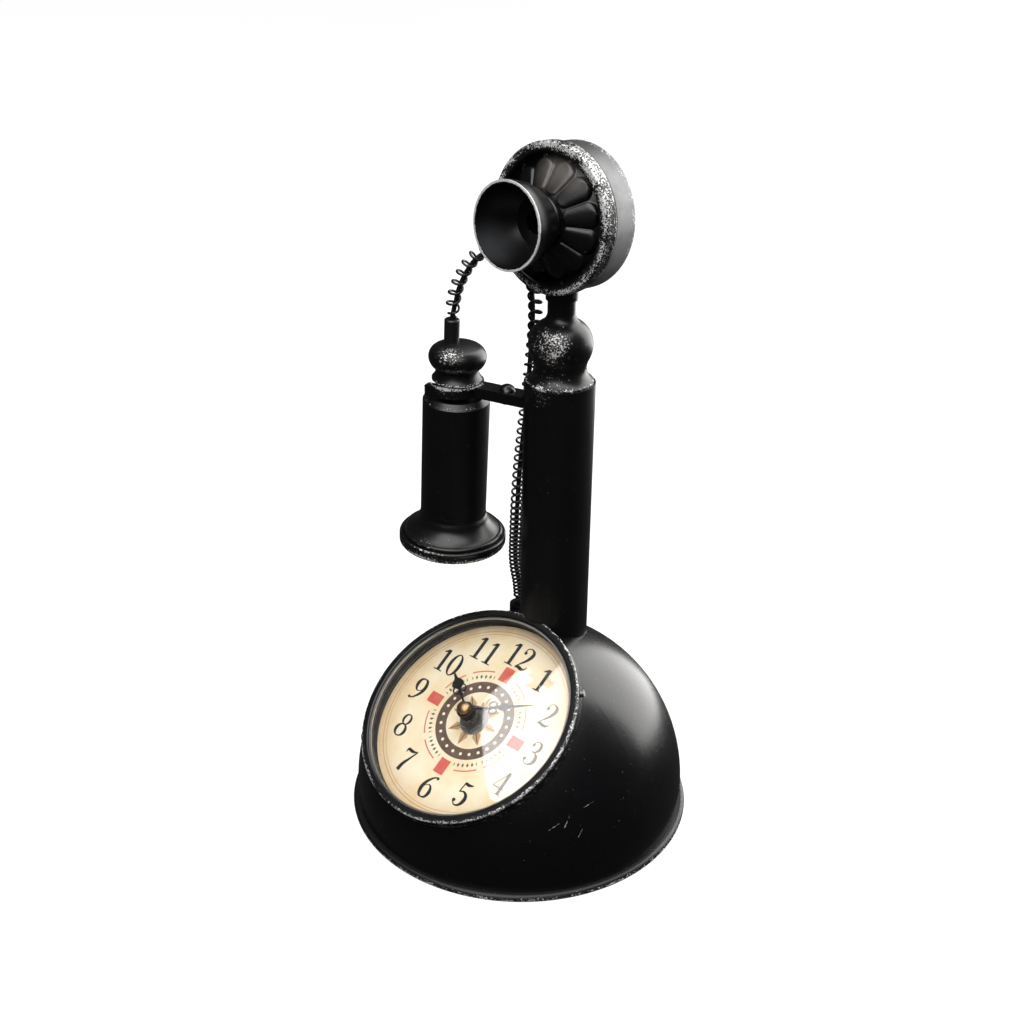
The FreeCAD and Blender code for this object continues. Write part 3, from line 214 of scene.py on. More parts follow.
floor_half = 12.0
floor_shade = 0.16
floor_corners = [(x * floor_half, y * floor_half, 0) for x, y in ((-1, -1), (1, -1), (1, 1), (-1, 1))]
background("floor", floor_corners, [[0, 1, 2, 3]], floor_shade)
wall_sides = 64
wall_height = 8.0
wall_radius = floor_half * 0.98
wall_turn = np.linspace(0, 2 * math.pi, wall_sides, endpoint=False)
wall_foot = np.stack([np.sin(wall_turn), np.cos(wall_turn), 0 * wall_turn], axis=1) * wall_radius
wall_index = np.arange(wall_sides)
wall_next = np.roll(wall_index, -1)
wall_points = np.vstack([wall_foot, wall_foot + (0, 0, wall_height)])
wall_faces = np.stack([wall_index, wall_next, wall_next + wall_sides, wall_index + wall_sides], axis=1)
pale_wall = background("pale_wall", wall_points.tolist(), wall_faces.tolist(), 0.0)
pale_wall.visible_shadow = False
room_glow = 0.035
world = bpy.data.worlds.new("studio")
world.use_nodes = True
world.node_tree.nodes["Background"].inputs["Color"].default_value = (1, 1, 1, 1)
world.node_tree.nodes["Background"].inputs["Strength"].default_value = room_glow
bpy.context.scene.world = world

# Base: a rolled iron flange on the table and a spun iron dome on it, painted satin black, with silver
# dry-brushed over the rim and a few scratches; the gland for the cord is the same painted iron.
upward = (0.0, 0.0, 1.0)
dome_middle = (0.0, 0.0, 0.011)
paint_black = (0.0022, 0.0024, 0.0030, 1)
silver = (0.78, 0.78, 0.78, 1)


def aged_iron(name, edges=(), patches=(), scratches=(), painted_lights=(), spun=(), ground=paint_black, gloss=0.34,
              fleck=0.0007):
    """Satin black paint with silver flecks. Each edge is (origin, axis, radius, height, reach, strength): the
    flecks thicken towards that circle. Each patch is (middle, reach, strength): they thicken towards that
    point. Each scratch is the two ends of a thin silver line. Each painted light is (middle, reach, colour):
    the paint takes that colour towards that point, as painted light standing in for light that falls there.
    Each spun zone is (origin, axis, spacing, height): rings left by the spinning tool show up to that height."""
    cloud_size = 0.007
    smear_size = 0.02
    skin_size = 0.0012
    skin_depth = 0.00005
    scratch_edge = 0.00020
    scratch_core = 0.00006
    bare_from = 0.74
    bare_to = 0.83
    ring_depth = 4.0
    paint = Finish(name)
    place = paint.place()
    grain = paint.noise(place, fleck, 2.0, 0.6)
    cloud = paint.noise(place, cloud_size, 3.0, 0.6)
    level = grain
    for origin, axis, radius, height, reach, strength in edges:
        across, along = paint.round_place(place, origin, axis)
        gap = ((across - radius) * (across - radius) + (along - height) * (along - height)) ** 0.5
        level = level + paint.step(gap, reach, 0.0) * (cloud * (2 * strength))
    for middle, reach, strength in patches:
        gap = paint.add("ShaderNodeVectorMath", {"operation": "DISTANCE"}, {0: place, 1: middle}, 1)
        level = level + paint.step(gap, reach, 0.0) * (cloud * (2 * strength))
    worn = paint.step(level, bare_from, bare_to)
    for start, end in scratches:
        run = [b - a for a, b in zip(start, end)]
        length = math.sqrt(sum(part * part for part in run))
        ahead = [part / length for part in run]
        across, along = paint.round_place(place, start, ahead)
        scratch = paint.step(across, scratch_edge, scratch_core)
        scratch = scratch * paint.step(abs(along - length / 2), length / 2, length / 3)
        worn = worn + scratch * paint.step(paint.noise(place, skin_size), 0.40, 0.70) * 0.8
    smear = paint.noise(place, smear_size, 4.0)
    skin = paint.noise(place, skin_size, 2.0)
    relief = skin + worn * 0.6
    for origin, axis, spacing, height in spun:
        across, along = paint.round_place(place, origin, axis)
        wave = paint.add("ShaderNodeMath", {"operation": "SINE"}, {
            0: (across + along) * (2 * math.pi / spacing)})
        relief = relief + wave * paint.step(along, height, height * 0.6) * ring_depth
    # Painted light: towards each given point the ground takes a lighter colour, standing in for light that
    # falls there.
    ground_with_painted_light = ground
    for middle, reach, colour in painted_lights:
        gap = paint.add("ShaderNodeVectorMath", {"operation": "DISTANCE"}, {0: place, 1: middle}, 1)
        ground_with_painted_light = paint.mix(paint.step(gap, reach, 0.0) * (0.4 + cloud * 1.2), ground_with_painted_light, colour)
    return paint.set(
        Base_Color=paint.mix(worn, ground_with_painted_light, silver),
        Metallic=worn * 0.2,
        Roughness=gloss - 0.05 + smear * 0.1 + worn * 0.12,
        Normal=paint.bump(relief, skin_depth, 0.5))


def dress(material, *names):
    """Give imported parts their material."""
    for name in names:
        for slot in nodes[name].material_slots:
            slot.material = material


dress(aged_iron("flange_iron", [(dome_middle, upward, 0.0712, -0.0098, 0.0020, 0.26)], gloss=0.50),
      "base_flange")
dress(aged_iron("dome_iron", gloss=0.27, scratches=[
    ((0.05945, -0.02141, 0.03873), (0.05809, -0.02631, 0.03735)),
    ((0.05608, -0.03159, 0.03585), (0.05608, -0.03489, 0.03096)),
    ((0.06007, -0.02823, 0.02984), (0.05984, -0.03076, 0.02629)),
    ((0.05461, -0.03567, 0.03350), (0.05246, -0.04012, 0.03099))]), "base_dome")
dress(aged_iron("gland_iron"), "cord_gland")

# Clock case: a drum in the dome, a bezel held by two small screws, a bright trim wire, the domed glass and
# a grey-blue spacer wall inside, all on the leaning axis of the dial.
clock_lean = math.radians(34.5)
clock_right = np.array((1.0, 0.0, 0.0))
clock_up = np.array((0.0, math.cos(clock_lean), math.sin(clock_lean)))
clock_out = np.array((0.0, -math.sin(clock_lean), math.cos(clock_lean)))
clock_middle = np.array(dome_middle)
bezel_outer = 0.0477
bezel_front = 0.0560
clock_axis = tuple(clock_out)
dress(aged_iron("bezel_iron", [
    (dome_middle, clock_axis, bezel_outer, bezel_front - 0.0006, 0.0020, 0.28),
    (dome_middle, clock_axis, bezel_outer, bezel_front - 0.0040, 0.0026, 0.14)]), "bezel_ring")
dress(aged_iron("drum_iron"), "clock_drum")


def bright_steel(name, tint=(0.62, 0.62, 0.63, 1), roughness=0.24):
    """Plain steel with fine rubbed streaks."""
    steel = Finish(name)
    place = steel.place()
    streak = steel.noise(place, 0.0006, 5.0)
    dull = steel.noise(place, 0.004)
    return steel.set(
        Base_Color=steel.mix(dull, tint, tuple(0.75 * part for part in tint[:3]) + (1,)), Metallic=1.0,
        Roughness=roughness + streak * 0.16, Normal=steel.bump(streak, 0.00002, 0.4))


dress(bright_steel("trim_steel"), "trim_wire")
dress(bright_steel("screw_steel", (0.42, 0.42, 0.43, 1), 0.3), "bezel_screws")


def moulded(name, colour, roughness=0.45, speck=0.08):
    """Moulded plastic: an even colour with a faint mottle and the fine skin of the mould."""
    plastic = Finish(name)
    place = plastic.place()
    mottle = plastic.noise(place, 0.006, 3.0)
    skin = plastic.noise(place, 0.0004, 2.0)
    return plastic.set(
        Base_Color=plastic.mix(mottle, colour, tuple((1 - speck) * part for part in colour[:3]) + (1,)),
        Roughness=roughness + mottle * 0.08, Normal=plastic.bump(skin, 0.00002, 0.5))


dress(moulded("spacer_plastic", (0.012, 0.016, 0.024, 1), 0.75), "spacer_ring")

clear = Finish("clear_glass")
clear.set(Base_Color=(1, 1, 1, 1), Metallic=1.0, Roughness=0.03)
mirror = Signal(clear, clear.shader.outputs[0])
see_through = clear.add("ShaderNodeBsdfTransparent", {}, {})
grazing = clear.add("ShaderNodeLayerWeight", {}, {"Blend": 0.5}, "Facing")
least_glint = 0.055
glint = least_glint + grazing ** 5.0 * (1 - least_glint)
both = clear.add("ShaderNodeMixShader", {}, {0: glint, 1: see_through, 2: mirror})
clear.feed(clear.tree.nodes["Material Output"].inputs["Surface"], both)
dress(clear.material, "glass")

# Dial: a printed card on a steel plate. Aged cream paper, a brown double border, black numerals standing
# upright, and in the middle a generic rosette with a beaded brown ring, dark lozenges and red marks.
dial_front = 0.0482
cream = (0.94, 0.76, 0.47, 1)
pale_cream = (0.98, 0.90, 0.70, 1)
tan = (0.55, 0.33, 0.14, 1)
brown = (0.075, 0.026, 0.020, 1)
red = (0.68, 0.045, 0.050, 1)
dark_print = (0.020, 0.014, 0.012, 1)
border_line = (0.0399, 0.0402)
border_rule = (0.0411, 0.0416)
mark_band = (0.0195, 0.0262)
arc_band = (0.0222, 0.0228)
lozenge_radius = 0.0200
ring_band = (0.0128, 0.0176)
bead_radius = 0.0152
petal_radius = 0.0078
vein_band = (0.0050, 0.0108)
paper = Finish("dial_print")
place = paper.place()
offset = paper.add("ShaderNodeVectorMath", {"operation": "SUBTRACT"}, {0: place, 1: dome_middle})
right = paper.add("ShaderNodeVectorMath", {"operation": "DOT_PRODUCT"}, {0: offset, 1: tuple(clock_right)}, 1)
rise = paper.add("ShaderNodeVectorMath", {"operation": "DOT_PRODUCT"}, {0: offset, 1: tuple(clock_up)}, 1)
across = paper.round_place(place, dome_middle, clock_axis)[0]
turn = paper.add("ShaderNodeMath", {"operation": "ARCTAN2"}, {0: right, 1: rise})


def band(low, high, soft=0.00012):
    """One between two distances from the dial's middle, zero outside."""
    return paper.step(across, low - soft, low + soft) * paper.step(across, high + soft, high - soft)


def repeat(count):
    """Angle from the nearest of a number of rays, in turns of a ray: 0 on it, 0.5 half way to the next."""
    turned = turn * (count / (2 * math.pi)) + (count + 0.5)
    return abs(paper.add("ShaderNodeMath", {"operation": "FRACT"}, {0: turned}) - 0.5)


def aside_of_ray(count):
    """Distance along the circle from the nearest of a number of rays, in metres."""
    return repeat(count) * across * (2 * math.pi / count)


mottle = paper.noise(place, 0.014, 5.0, 0.6)
stain = paper.noise(place, 0.0045, 4.0, 0.65)
aged = paper.mix(paper.step(mottle, 0.35, 0.7), pale_cream, cream)
aged = paper.mix(paper.step(across, 0.030, 0.047) * (0.35 + stain * 0.5), aged, tan)
border = band(*border_line) + band(*border_rule)
printed = paper.mix(border * (0.55 + stain * 0.4), aged, tan)
red_mark = paper.step(aside_of_ray(4), 0.0026, 0.0024) * band(*mark_band)
printed = paper.mix(red_mark * (0.75 + stain * 0.25), printed, red)
ray = repeat(4)
arc = band(*arc_band) * paper.step(ray, 0.16, 0.17) * paper.step(ray, 0.46, 0.45)
printed = paper.mix(arc * 0.8, printed, red)
lozenge = paper.step(aside_of_ray(60) + abs(across - lozenge_radius) * 0.55, 0.00062, 0.00050)
lozenge = lozenge * paper.step(ray, 0.13, 0.14) * paper.step(ray, 0.47, 0.46)
printed = paper.mix(lozenge * (0.7 + stain * 0.3), printed, dark_print)
printed = paper.mix(band(*ring_band) * (0.85 + stain * 0.15), printed, brown)
bead_gap = (aside_of_ray(24) ** 2.0 + (across - bead_radius) * (across - bead_radius)) ** 0.5
printed = paper.mix(paper.step(bead_gap, 0.00075, 0.0006), printed, pale_cream)
petal = paper.step(aside_of_ray(8) + abs(across - petal_radius) * 0.45, 0.0020, 0.0018)
printed = paper.mix(petal * 0.9, printed, tan)
vein = paper.step(aside_of_ray(8), 0.00022, 0.00014) * band(*vein_band)
printed = paper.mix(vein, printed, brown)
fibre = paper.noise(place, 0.0003, 3.0)
dress(paper.set(Base_Color=printed, Roughness=0.62 + stain * 0.1, Normal=paper.bump(fibre, 0.00002, 0.4)),
      "dial_card")


def smooth_rows(rows, steps=10):
    """Rows of numbers joined by Catmull-Rom spans: each span blends four neighbours with cubic weights."""
    rows = np.array(rows, float)
    held = np.vstack([2 * rows[:1] - rows[1:2], rows, 2 * rows[-1:] - rows[-2:-1]])
    t = np.arange(steps) / steps
    weights = 0.5 * np.stack([
        -t + 2 * t ** 2 - t ** 3, 2 - 5 * t ** 2 + 3 * t ** 3, t + 4 * t ** 2 - 3 * t ** 3, t ** 3 - t ** 2])
    spans = np.stack([held[first:first + len(rows) - 1] for first in range(4)])
    curve = np.einsum("ks,knd->nsd", weights, spans).reshape(-1, rows.shape[1])
    return np.vstack([curve, rows[-1:]])


def skin_faces(rows, columns, wrap_rows):
    """Quads of a grid whose columns run round; its rows may run round too."""
    index = np.arange(rows * columns).reshape(rows, columns)
    ahead = np.roll(index, -1, axis=0) if wrap_rows else index[1:]
    here = index if wrap_rows else index[:-1]
    quads = np.stack([here, ahead, np.roll(ahead, -1, axis=1), np.roll(here, -1, axis=1)], axis=-1)
    return quads.reshape(-1, 4)


def strap(rows, low, high, closed=False):
    """Flat strap between two heights along a line of (x, y, width): each edge lies half the width aside."""
    line = np.array(rows, float)
    if closed:
        ahead = np.roll(line[:, :2], -1, axis=0) - np.roll(line[:, :2], 1, axis=0)
    else:
        ahead = np.gradient(line[:, :2], axis=0)
    ahead /= np.linalg.norm(ahead, axis=1, keepdims=True)
    side = np.stack([-ahead[:, 1], ahead[:, 0]], axis=1) * line[:, 2:3] / 2
    left = line[:, :2] + side
    right_edge = line[:, :2] - side
    lift = np.ones((len(line), 1))
    section = np.stack([np.hstack([left, lift * low]), np.hstack([right_edge, lift * low]),
                        np.hstack([right_edge, lift * high]), np.hstack([left, lift * high])], axis=1)
    faces = skin_faces(len(line), 4, closed).tolist()
    if not closed:
        last = 4 * (len(line) - 1)
        faces += [[0, 1, 2, 3], [last + 3, last + 2, last + 1, last]]
    return section.reshape(-1, 3), faces


def hoop(x, y, half_width, half_height, thin, thick, low, high, steps=48):
    """Closed strap on an ellipse, thick at its sides and thin at its top and foot."""
    around = np.linspace(0, 2 * math.pi, steps, endpoint=False)
    width = thin + (thick - thin) * np.cos(around) ** 2
    return strap(np.stack([x + half_width * np.cos(around), y + half_height * np.sin(around), width], axis=1),
                 low, high, True)


def join_shapes(shapes):
    """One list of points and one of faces from several shapes."""
    points = np.vstack([shape[0] for shape in shapes])
    starts = np.cumsum([0] + [len(shape[0]) for shape in shapes])
    faces = [[corner + start for corner in face] for shape, start in zip(shapes, starts) for face in shape[1]]
    return points, faces


def add_piece(name, points, faces, material, body, smooth=True):
    """New mesh in the shared frame that rides on a body."""
    mesh = bpy.data.meshes.new(name)
    mesh.from_pydata(np.asarray(points).tolist(), [], [list(face) for face in faces])
    mesh.polygons.foreach_set("use_smooth", [smooth] * len(mesh.polygons))
    mesh.materials.append(material)
    piece = bpy.data.objects.new(name, mesh)
    bpy.context.scene.collection.objects.link(piece)
    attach(piece, body)
    return piece


# The numerals are drawn one high and 0.6 wide, with the thickness of the ink in the same measure.
ink_low = 0.0
ink_high = 0.004


def stroke(*rows):
    """Pen stroke of a numeral through rows of (x, y, width)."""
    return strap(smooth_rows(rows), ink_low, ink_high)


def ball(x, y, radius):
    """Round end of a stroke."""
    return hoop(x, y, radius / 2, radius / 2, radius * 0.98, radius * 0.98, ink_low, ink_high, 20)


def turn_over(shapes):
    """The same strokes turned by half a turn about the middle of the numeral."""
    return [(points * (-1, -1, 1) + (0.6, 1, 0), faces) for points, faces in shapes]


six = [
    stroke((0.52, 0.97, 0.05), (0.34, 0.88, 0.07), (0.15, 0.62, 0.13), (0.09, 0.34, 0.16), (0.16, 0.09, 0.11),
           (0.30, 0.02, 0.05)),
    stroke((0.30, 0.02, 0.05), (0.46, 0.09, 0.10), (0.52, 0.30, 0.15), (0.45, 0.51, 0.09), (0.31, 0.57, 0.04),
           (0.15, 0.45, 0.03)),
    ball(0.52, 0.93, 0.06)]
numerals = {
    "0": [hoop(0.30, 0.50, 0.22, 0.475, 0.05, 0.15, ink_low, ink_high)],
    "1": [stroke((0.34, 0.98, 0.15), (0.34, 0.50, 0.15), (0.34, 0.03, 0.15)),
          stroke((0.30, 0.96, 0.06), (0.22, 0.87, 0.08), (0.12, 0.82, 0.03)),
          stroke((0.13, 0.02, 0.04), (0.34, 0.03, 0.06), (0.55, 0.02, 0.04))],
    "2": [stroke((0.11, 0.72, 0.06), (0.13, 0.90, 0.05), (0.30, 0.975, 0.05), (0.47, 0.88, 0.12),
                 (0.49, 0.70, 0.16), (0.37, 0.45, 0.11), (0.18, 0.22, 0.06), (0.06, 0.05, 0.05)),
          stroke((0.06, 0.05, 0.05), (0.20, 0.10, 0.12), (0.38, 0.06, 0.13), (0.52, 0.10, 0.07),
                 (0.56, 0.24, 0.03)),
          ball(0.14, 0.73, 0.07)],
    "3": [stroke((0.12, 0.80, 0.05), (0.18, 0.94, 0.05), (0.32, 0.975, 0.06), (0.45, 0.87, 0.13),
                 (0.44, 0.68, 0.13), (0.34, 0.57, 0.06), (0.21, 0.54, 0.04)),
          stroke((0.21, 0.54, 0.04), (0.38, 0.52, 0.06), (0.50, 0.40, 0.14), (0.51, 0.20, 0.16),
                 (0.40, 0.05, 0.08), (0.22, 0.02, 0.05), (0.09, 0.14, 0.05)),
          ball(0.13, 0.79, 0.07), ball(0.11, 0.19, 0.075)],
    "4": [stroke((0.42, 0.98, 0.07), (0.23, 0.62, 0.05), (0.04, 0.29, 0.05)),
          stroke((0.03, 0.28, 0.06), (0.30, 0.28, 0.06), (0.59, 0.28, 0.06)),
          stroke((0.42, 0.98, 0.14), (0.42, 0.50, 0.14), (0.42, 0.03, 0.14)),
          stroke((0.24, 0.02, 0.04), (0.42, 0.03, 0.05), (0.60, 0.02, 0.04))],
    "5": [stroke((0.15, 0.93, 0.10), (0.32, 0.91, 0.12), (0.52, 0.97, 0.04)),
          stroke((0.15, 0.96, 0.05), (0.13, 0.75, 0.05), (0.11, 0.53, 0.05)),
          stroke((0.11, 0.54, 0.04), (0.28, 0.61, 0.07), (0.46, 0.51, 0.13), (0.50, 0.30, 0.16),
                 (0.40, 0.08, 0.10), (0.22, 0.02, 0.05), (0.09, 0.12, 0.05)),
          ball(0.11, 0.17, 0.075)],
    "6": six,
    "7": [stroke((0.07, 0.78, 0.03), (0.10, 0.93, 0.10), (0.28, 0.91, 0.13), (0.44, 0.93, 0.08),
                 (0.56, 0.98, 0.04)),
          stroke((0.55, 0.97, 0.05), (0.39, 0.62, 0.09), (0.25, 0.32, 0.14), (0.20, 0.02, 0.17))],
    "8": [hoop(0.30, 0.755, 0.165, 0.215, 0.05, 0.11, ink_low, ink_high),
          hoop(0.30, 0.275, 0.215, 0.255, 0.05, 0.14, ink_low, ink_high)],
    "9": turn_over(six)}
numeral_height = 0.0106
numeral_radius = 0.0325
numeral_step = 0.62


def on_clock(points, lift=0.0):
    """Points (right, up, out) of the dial, in metres, in the shared frame."""
    points = np.asarray(points, float)
    return (clock_middle + np.outer(points[:, 0], clock_right) + np.outer(points[:, 1], clock_up)
            + np.outer(points[:, 2] + lift, clock_out))


numeral_shapes = []
for hour in range(1, 13):
    digits = str(hour)
    aim = math.radians(30 * hour)
    start = -numeral_step * len(digits) / 2
    for position, digit in enumerate(digits):
        for points, faces in numerals[digit]:
            laid = (points + (start + numeral_step * position, -0.5, 0)) * numeral_height
            laid += (math.sin(aim) * numeral_radius, math.cos(aim) * numeral_radius, 0)
            numeral_shapes.append((laid, faces))
numeral_points, numeral_faces = join_shapes(numeral_shapes)
ink_black = (0.012, 0.011, 0.010, 1)
ink = Finish("black_ink")
ink_wear = ink.noise(ink.place(), 0.0012, 4.0)
ink_material = ink.set(
    Base_Color=ink.mix(ink.step(ink_wear, 0.62, 0.75) * 0.35, ink_black, tan), Roughness=0.6 + ink_wear * 0.1)
add_piece("dial_numerals", on_clock(numeral_points, dial_front), numeral_faces, ink_material, "stand",
          False)
dress(bright_steel("dial_plate_steel", (0.5, 0.5, 0.5, 1), 0.4), "dial_plate")

# Movement: a moulded case that hangs from its bush behind the dial, with a snap-on back, a cell across its
# foot, the coil and stator of its motor and moulded wheels.
dress(moulded("gasket_rubber", (0.020, 0.020, 0.021, 1), 0.7), "dial_gasket")
dress(moulded("case_plastic", (0.030, 0.031, 0.034, 1), 0.5), "movement_case", "movement_back")
dress(moulded("wheel_plastic", (0.78, 0.76, 0.70, 1), 0.4), "train_plate", "centre_wheel", "third_wheel",
      "second_wheel", "fifth_wheel", "rotor", "minute_wheel", "hour_wheel")
dress(moulded("knob_plastic", (0.62, 0.60, 0.55, 1), 0.45), "set_knob")
dress(bright_steel("stamped_steel", (0.55, 0.55, 0.56, 1), 0.32), "stator", "coil_core", "contact_plus",
      "contact_minus", "minute_arbor", "bush_washer", "quartz_crystal")
dress(bright_steel("nut_steel", (0.30, 0.30, 0.31, 1), 0.32), "bush_nut")

cell_green = (0.05, 0.12, 0.08, 1)
cell_pale = (0.58, 0.56, 0.50, 1)
cell_steel = (0.6, 0.6, 0.6, 1)
jacket = Finish("cell_jacket")
place = jacket.place()
along_cell = jacket.add("ShaderNodeSeparateXYZ", {}, {0: place})
foil = jacket.noise(place, 0.003, 3.0)
ends = jacket.step(abs(along_cell), 0.0215, 0.0218)
wrapped = jacket.mix(jacket.step(along_cell, 0.009, 0.0093), cell_green, cell_pale)
dress(jacket.set(Base_Color=jacket.mix(ends, wrapped, cell_steel), Metallic=ends * 0.9,
                 Roughness=0.28 + foil * 0.1), "battery")

board_green = (0.020, 0.085, 0.035, 1)
track_green = (0.09, 0.20, 0.07, 1)
tracks_per_metre = 420.0
board = Finish("board_lacquer")
tracks = board.add("ShaderNodeTexVoronoi", {"feature": "DISTANCE_TO_EDGE"}, {
    "Vector": board.place(), "Scale": tracks_per_metre})
track = board.step(tracks, 0.10, 0.06)
dress(board.set(Base_Color=board.mix(track, board_green, track_green), Roughness=0.35 + track * 0.1,
                Normal=board.bump(track, 0.00004)), "circuit_board")

copper_dark = (0.45, 0.15, 0.05, 1)
copper_bright = (0.62, 0.26, 0.10, 1)
turns_per_metre = 5000.0
winding = Finish("copper_winding")
along_coil = winding.add("ShaderNodeVectorMath", {"operation": "DOT_PRODUCT"}, {
    0: winding.place(), 1: tuple(clock_up)}, 1)
wire_share = winding.add("ShaderNodeMath", {"operation": "FRACT"}, {0: along_coil * turns_per_metre})
turn_shading_and_relief = abs(wire_share - 0.5)
# The colour goes from copper_dark along the middle of each turn to copper_bright towards its edges: painted
# shading across the round turns.
dress(winding.set(Base_Color=winding.mix(turn_shading_and_relief, copper_dark, copper_bright), Metallic=0.9,
                  Roughness=0.3 + turn_shading_and_relief * 0.1, Normal=winding.bump(turn_shading_and_relief, 0.0001)), "coil")

# Threaded bush: the black neck of the movement, cut with a fine thread that the nut runs on, its crests
# rubbed bright; it stands for the plain sleeve of the source.
bush_radius = 0.0035
bush_bore = 0.00252
bush_low = 0.0441
bush_high = dial_front + 0.0064
thread_pitch = 0.00075
thread_depth = 0.00022
around = np.linspace(0, 2 * math.pi, 72, endpoint=False)
heights = np.linspace(bush_low, bush_high, 180)
phase = np.mod(heights[:, None] / thread_pitch - around[None, :] / (2 * math.pi), 1.0)
thread_wall = bush_radius - thread_depth * np.abs(2 * phase - 1)
thread_wall[[0, -1]] = bush_radius - thread_depth
bore = np.full((2, len(around)), bush_bore)
bush_r = np.vstack([thread_wall, bore])
bush_z = np.vstack([np.repeat(heights[:, None], len(around), axis=1),
                    np.full((1, len(around)), bush_high), np.full((1, len(around)), bush_low)])
bush_points = np.stack([bush_r * np.cos(around), bush_r * np.sin(around), bush_z], axis=-1).reshape(-1, 3)
bush_faces = skin_faces(len(bush_r), len(around), True)[:, ::-1]
thread_dark = (0.012, 0.012, 0.013, 1)
thread_bright = (0.5, 0.5, 0.5, 1)
thread = Finish("thread_black")
place = thread.place()
rub = thread.noise(place, 0.0009, 3.0)
crest = thread.step(thread.round_place(place, dome_middle, clock_axis)[0], bush_radius - 0.00012,
                    bush_radius - 0.00002)
thread_black = thread.set(
    Base_Color=thread.mix(crest * thread.step(rub, 0.3, 0.6), thread_dark, thread_bright),
    Metallic=crest * 0.6, Roughness=0.28 + rub * 0.15)
bush_piece = add_piece("threaded_bush", on_clock(bush_points), bush_faces, thread_black, "stand")
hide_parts("centre_bush")

# Hands: stamped steel, painted black; a spade hour hand and a longer minute hand with a pair of loops,
# pressed on the hour pipe and the minute arbor, with a small brass cap on top.
hand_thickness = 0.0005
hour_height = dial_front + 0.0076
minute_height = dial_front + 0.0092
hand_dark = (0.006, 0.006, 0.006, 1)
hand_rubbed = (0.016, 0.016, 0.017, 1)
hand_paint = Finish("hand_black")
hand_wear = hand_paint.noise(hand_paint.place(), 0.0015, 3.0)
hand_black = hand_paint.set(
    Base_Color=hand_paint.mix(hand_wear, hand_dark, hand_rubbed), Roughness=0.32 + hand_wear * 0.12)


def lay_hand(shapes, height, clockwise):
    """Shapes that point to twelve, in millimetres, turned clockwise by degrees and lifted off the dial."""
    points, faces = join_shapes(shapes)
    aim = math.radians(clockwise)
    x, y = points[:, 0] / 1000, points[:, 1] / 1000
    turned = np.stack([x * math.cos(aim) + y * math.sin(aim), y * math.cos(aim) - x * math.sin(aim),
                       points[:, 2] / 1000], axis=1)
    return on_clock(turned, height), faces


def blade(*rows):
    """Flat stamped blade of a hand through rows of (x, y, width), in millimetres."""
    return strap(smooth_rows(rows), 0.0, hand_thickness * 1000)


def eye(x, y, half_width, half_height, width):
    """Flat stamped loop of a hand, in millimetres."""
    return hoop(x, y, half_width, half_height, width, width, 0.0, hand_thickness * 1000)


hour_shapes = [
    eye(0, 0, 3.03, 3.03, 1.12),
    blade((0, 3.2, 1.6), (0, 5.0, 0.9), (0, 8.2, 0.8), (0, 9.2, 1.8), (0, 10.0, 0.8), (0, 12.0, 0.9)),
    eye(-1.55, 11.6, 1.25, 1.7, 0.5), eye(1.55, 11.6, 1.25, 1.7, 0.5),
    blade((0, 11.6, 0.8), (0, 12.9, 3.2), (0, 14.3, 5.4), (0, 15.8, 4.0), (0, 17.4, 1.5), (0, 19.2, 0.9),
          (0, 21.0, 0.25))]
hour_turn = 305
hour_points, hour_faces = lay_hand(hour_shapes, hour_height, hour_turn)
hour_piece = add_piece("hour_hand_spade", hour_points, hour_faces, hand_black, "hour_hand",
                       False)
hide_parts("hour_hand")
minute_shapes = [
    eye(0, 0, 2.38, 2.38, 2.34),
    blade((0, 3.2, 1.5), (0, 5.0, 0.9), (0, 8.6, 0.8), (0, 9.6, 1.7), (0, 10.4, 0.8), (0, 14.6, 0.9)),
    eye(-1.5, 12.3, 1.2, 1.7, 0.5), eye(1.5, 12.3, 1.2, 1.7, 0.5),
    blade((0, 14.2, 0.8), (0, 15.6, 2.6), (0, 17.0, 3.4), (0, 18.6, 2.2), (0, 20.4, 1.1), (0, 25.0, 0.8),
          (0, 29.5, 0.25))]
minute_turn = 60
minute_points, minute_faces = lay_hand(minute_shapes, minute_height, minute_turn)
minute_piece = add_piece("minute_hand_looped", minute_points, minute_faces, hand_black, "minute_hand",
                         False)
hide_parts("minute_hand")
dress(bright_steel("cap_brass", (0.46, 0.31, 0.17, 1), 0.32), "hand_cap")

# Column: a drawn iron tube coped to the dome, with a turned finial pressed into its top and a collar that
# carries the head; satin black with silver rubbed on the rim and the ball.
column_place = (0.0, 0.0198, 0.0)
column_top = 0.1856
dress(aged_iron("tube_iron", patches=[((0.0018, 0.0059, 0.1838), 0.0085, 0.15)]), "column_tube")
dress(aged_iron("finial_iron", [(column_place, upward, 0.0133, column_top + 0.0008, 0.0016, 0.20)], [
    ((0.0030, 0.0085, 0.2045), 0.0145, 0.21), ((0.0080, 0.0100, 0.2005), 0.0110, 0.10),
    ((0.0025, 0.0074, 0.1880), 0.0080, 0.20), ((0.0095, 0.0125, 0.1895), 0.0070, 0.14),
    ((-0.0060, 0.0308, 0.2035), 0.0120, 0.16), ((-0.0115, 0.0190, 0.1985), 0.0100, 0.12)]), "finial")
dress(aged_iron("collar_iron"), "neck_collar")

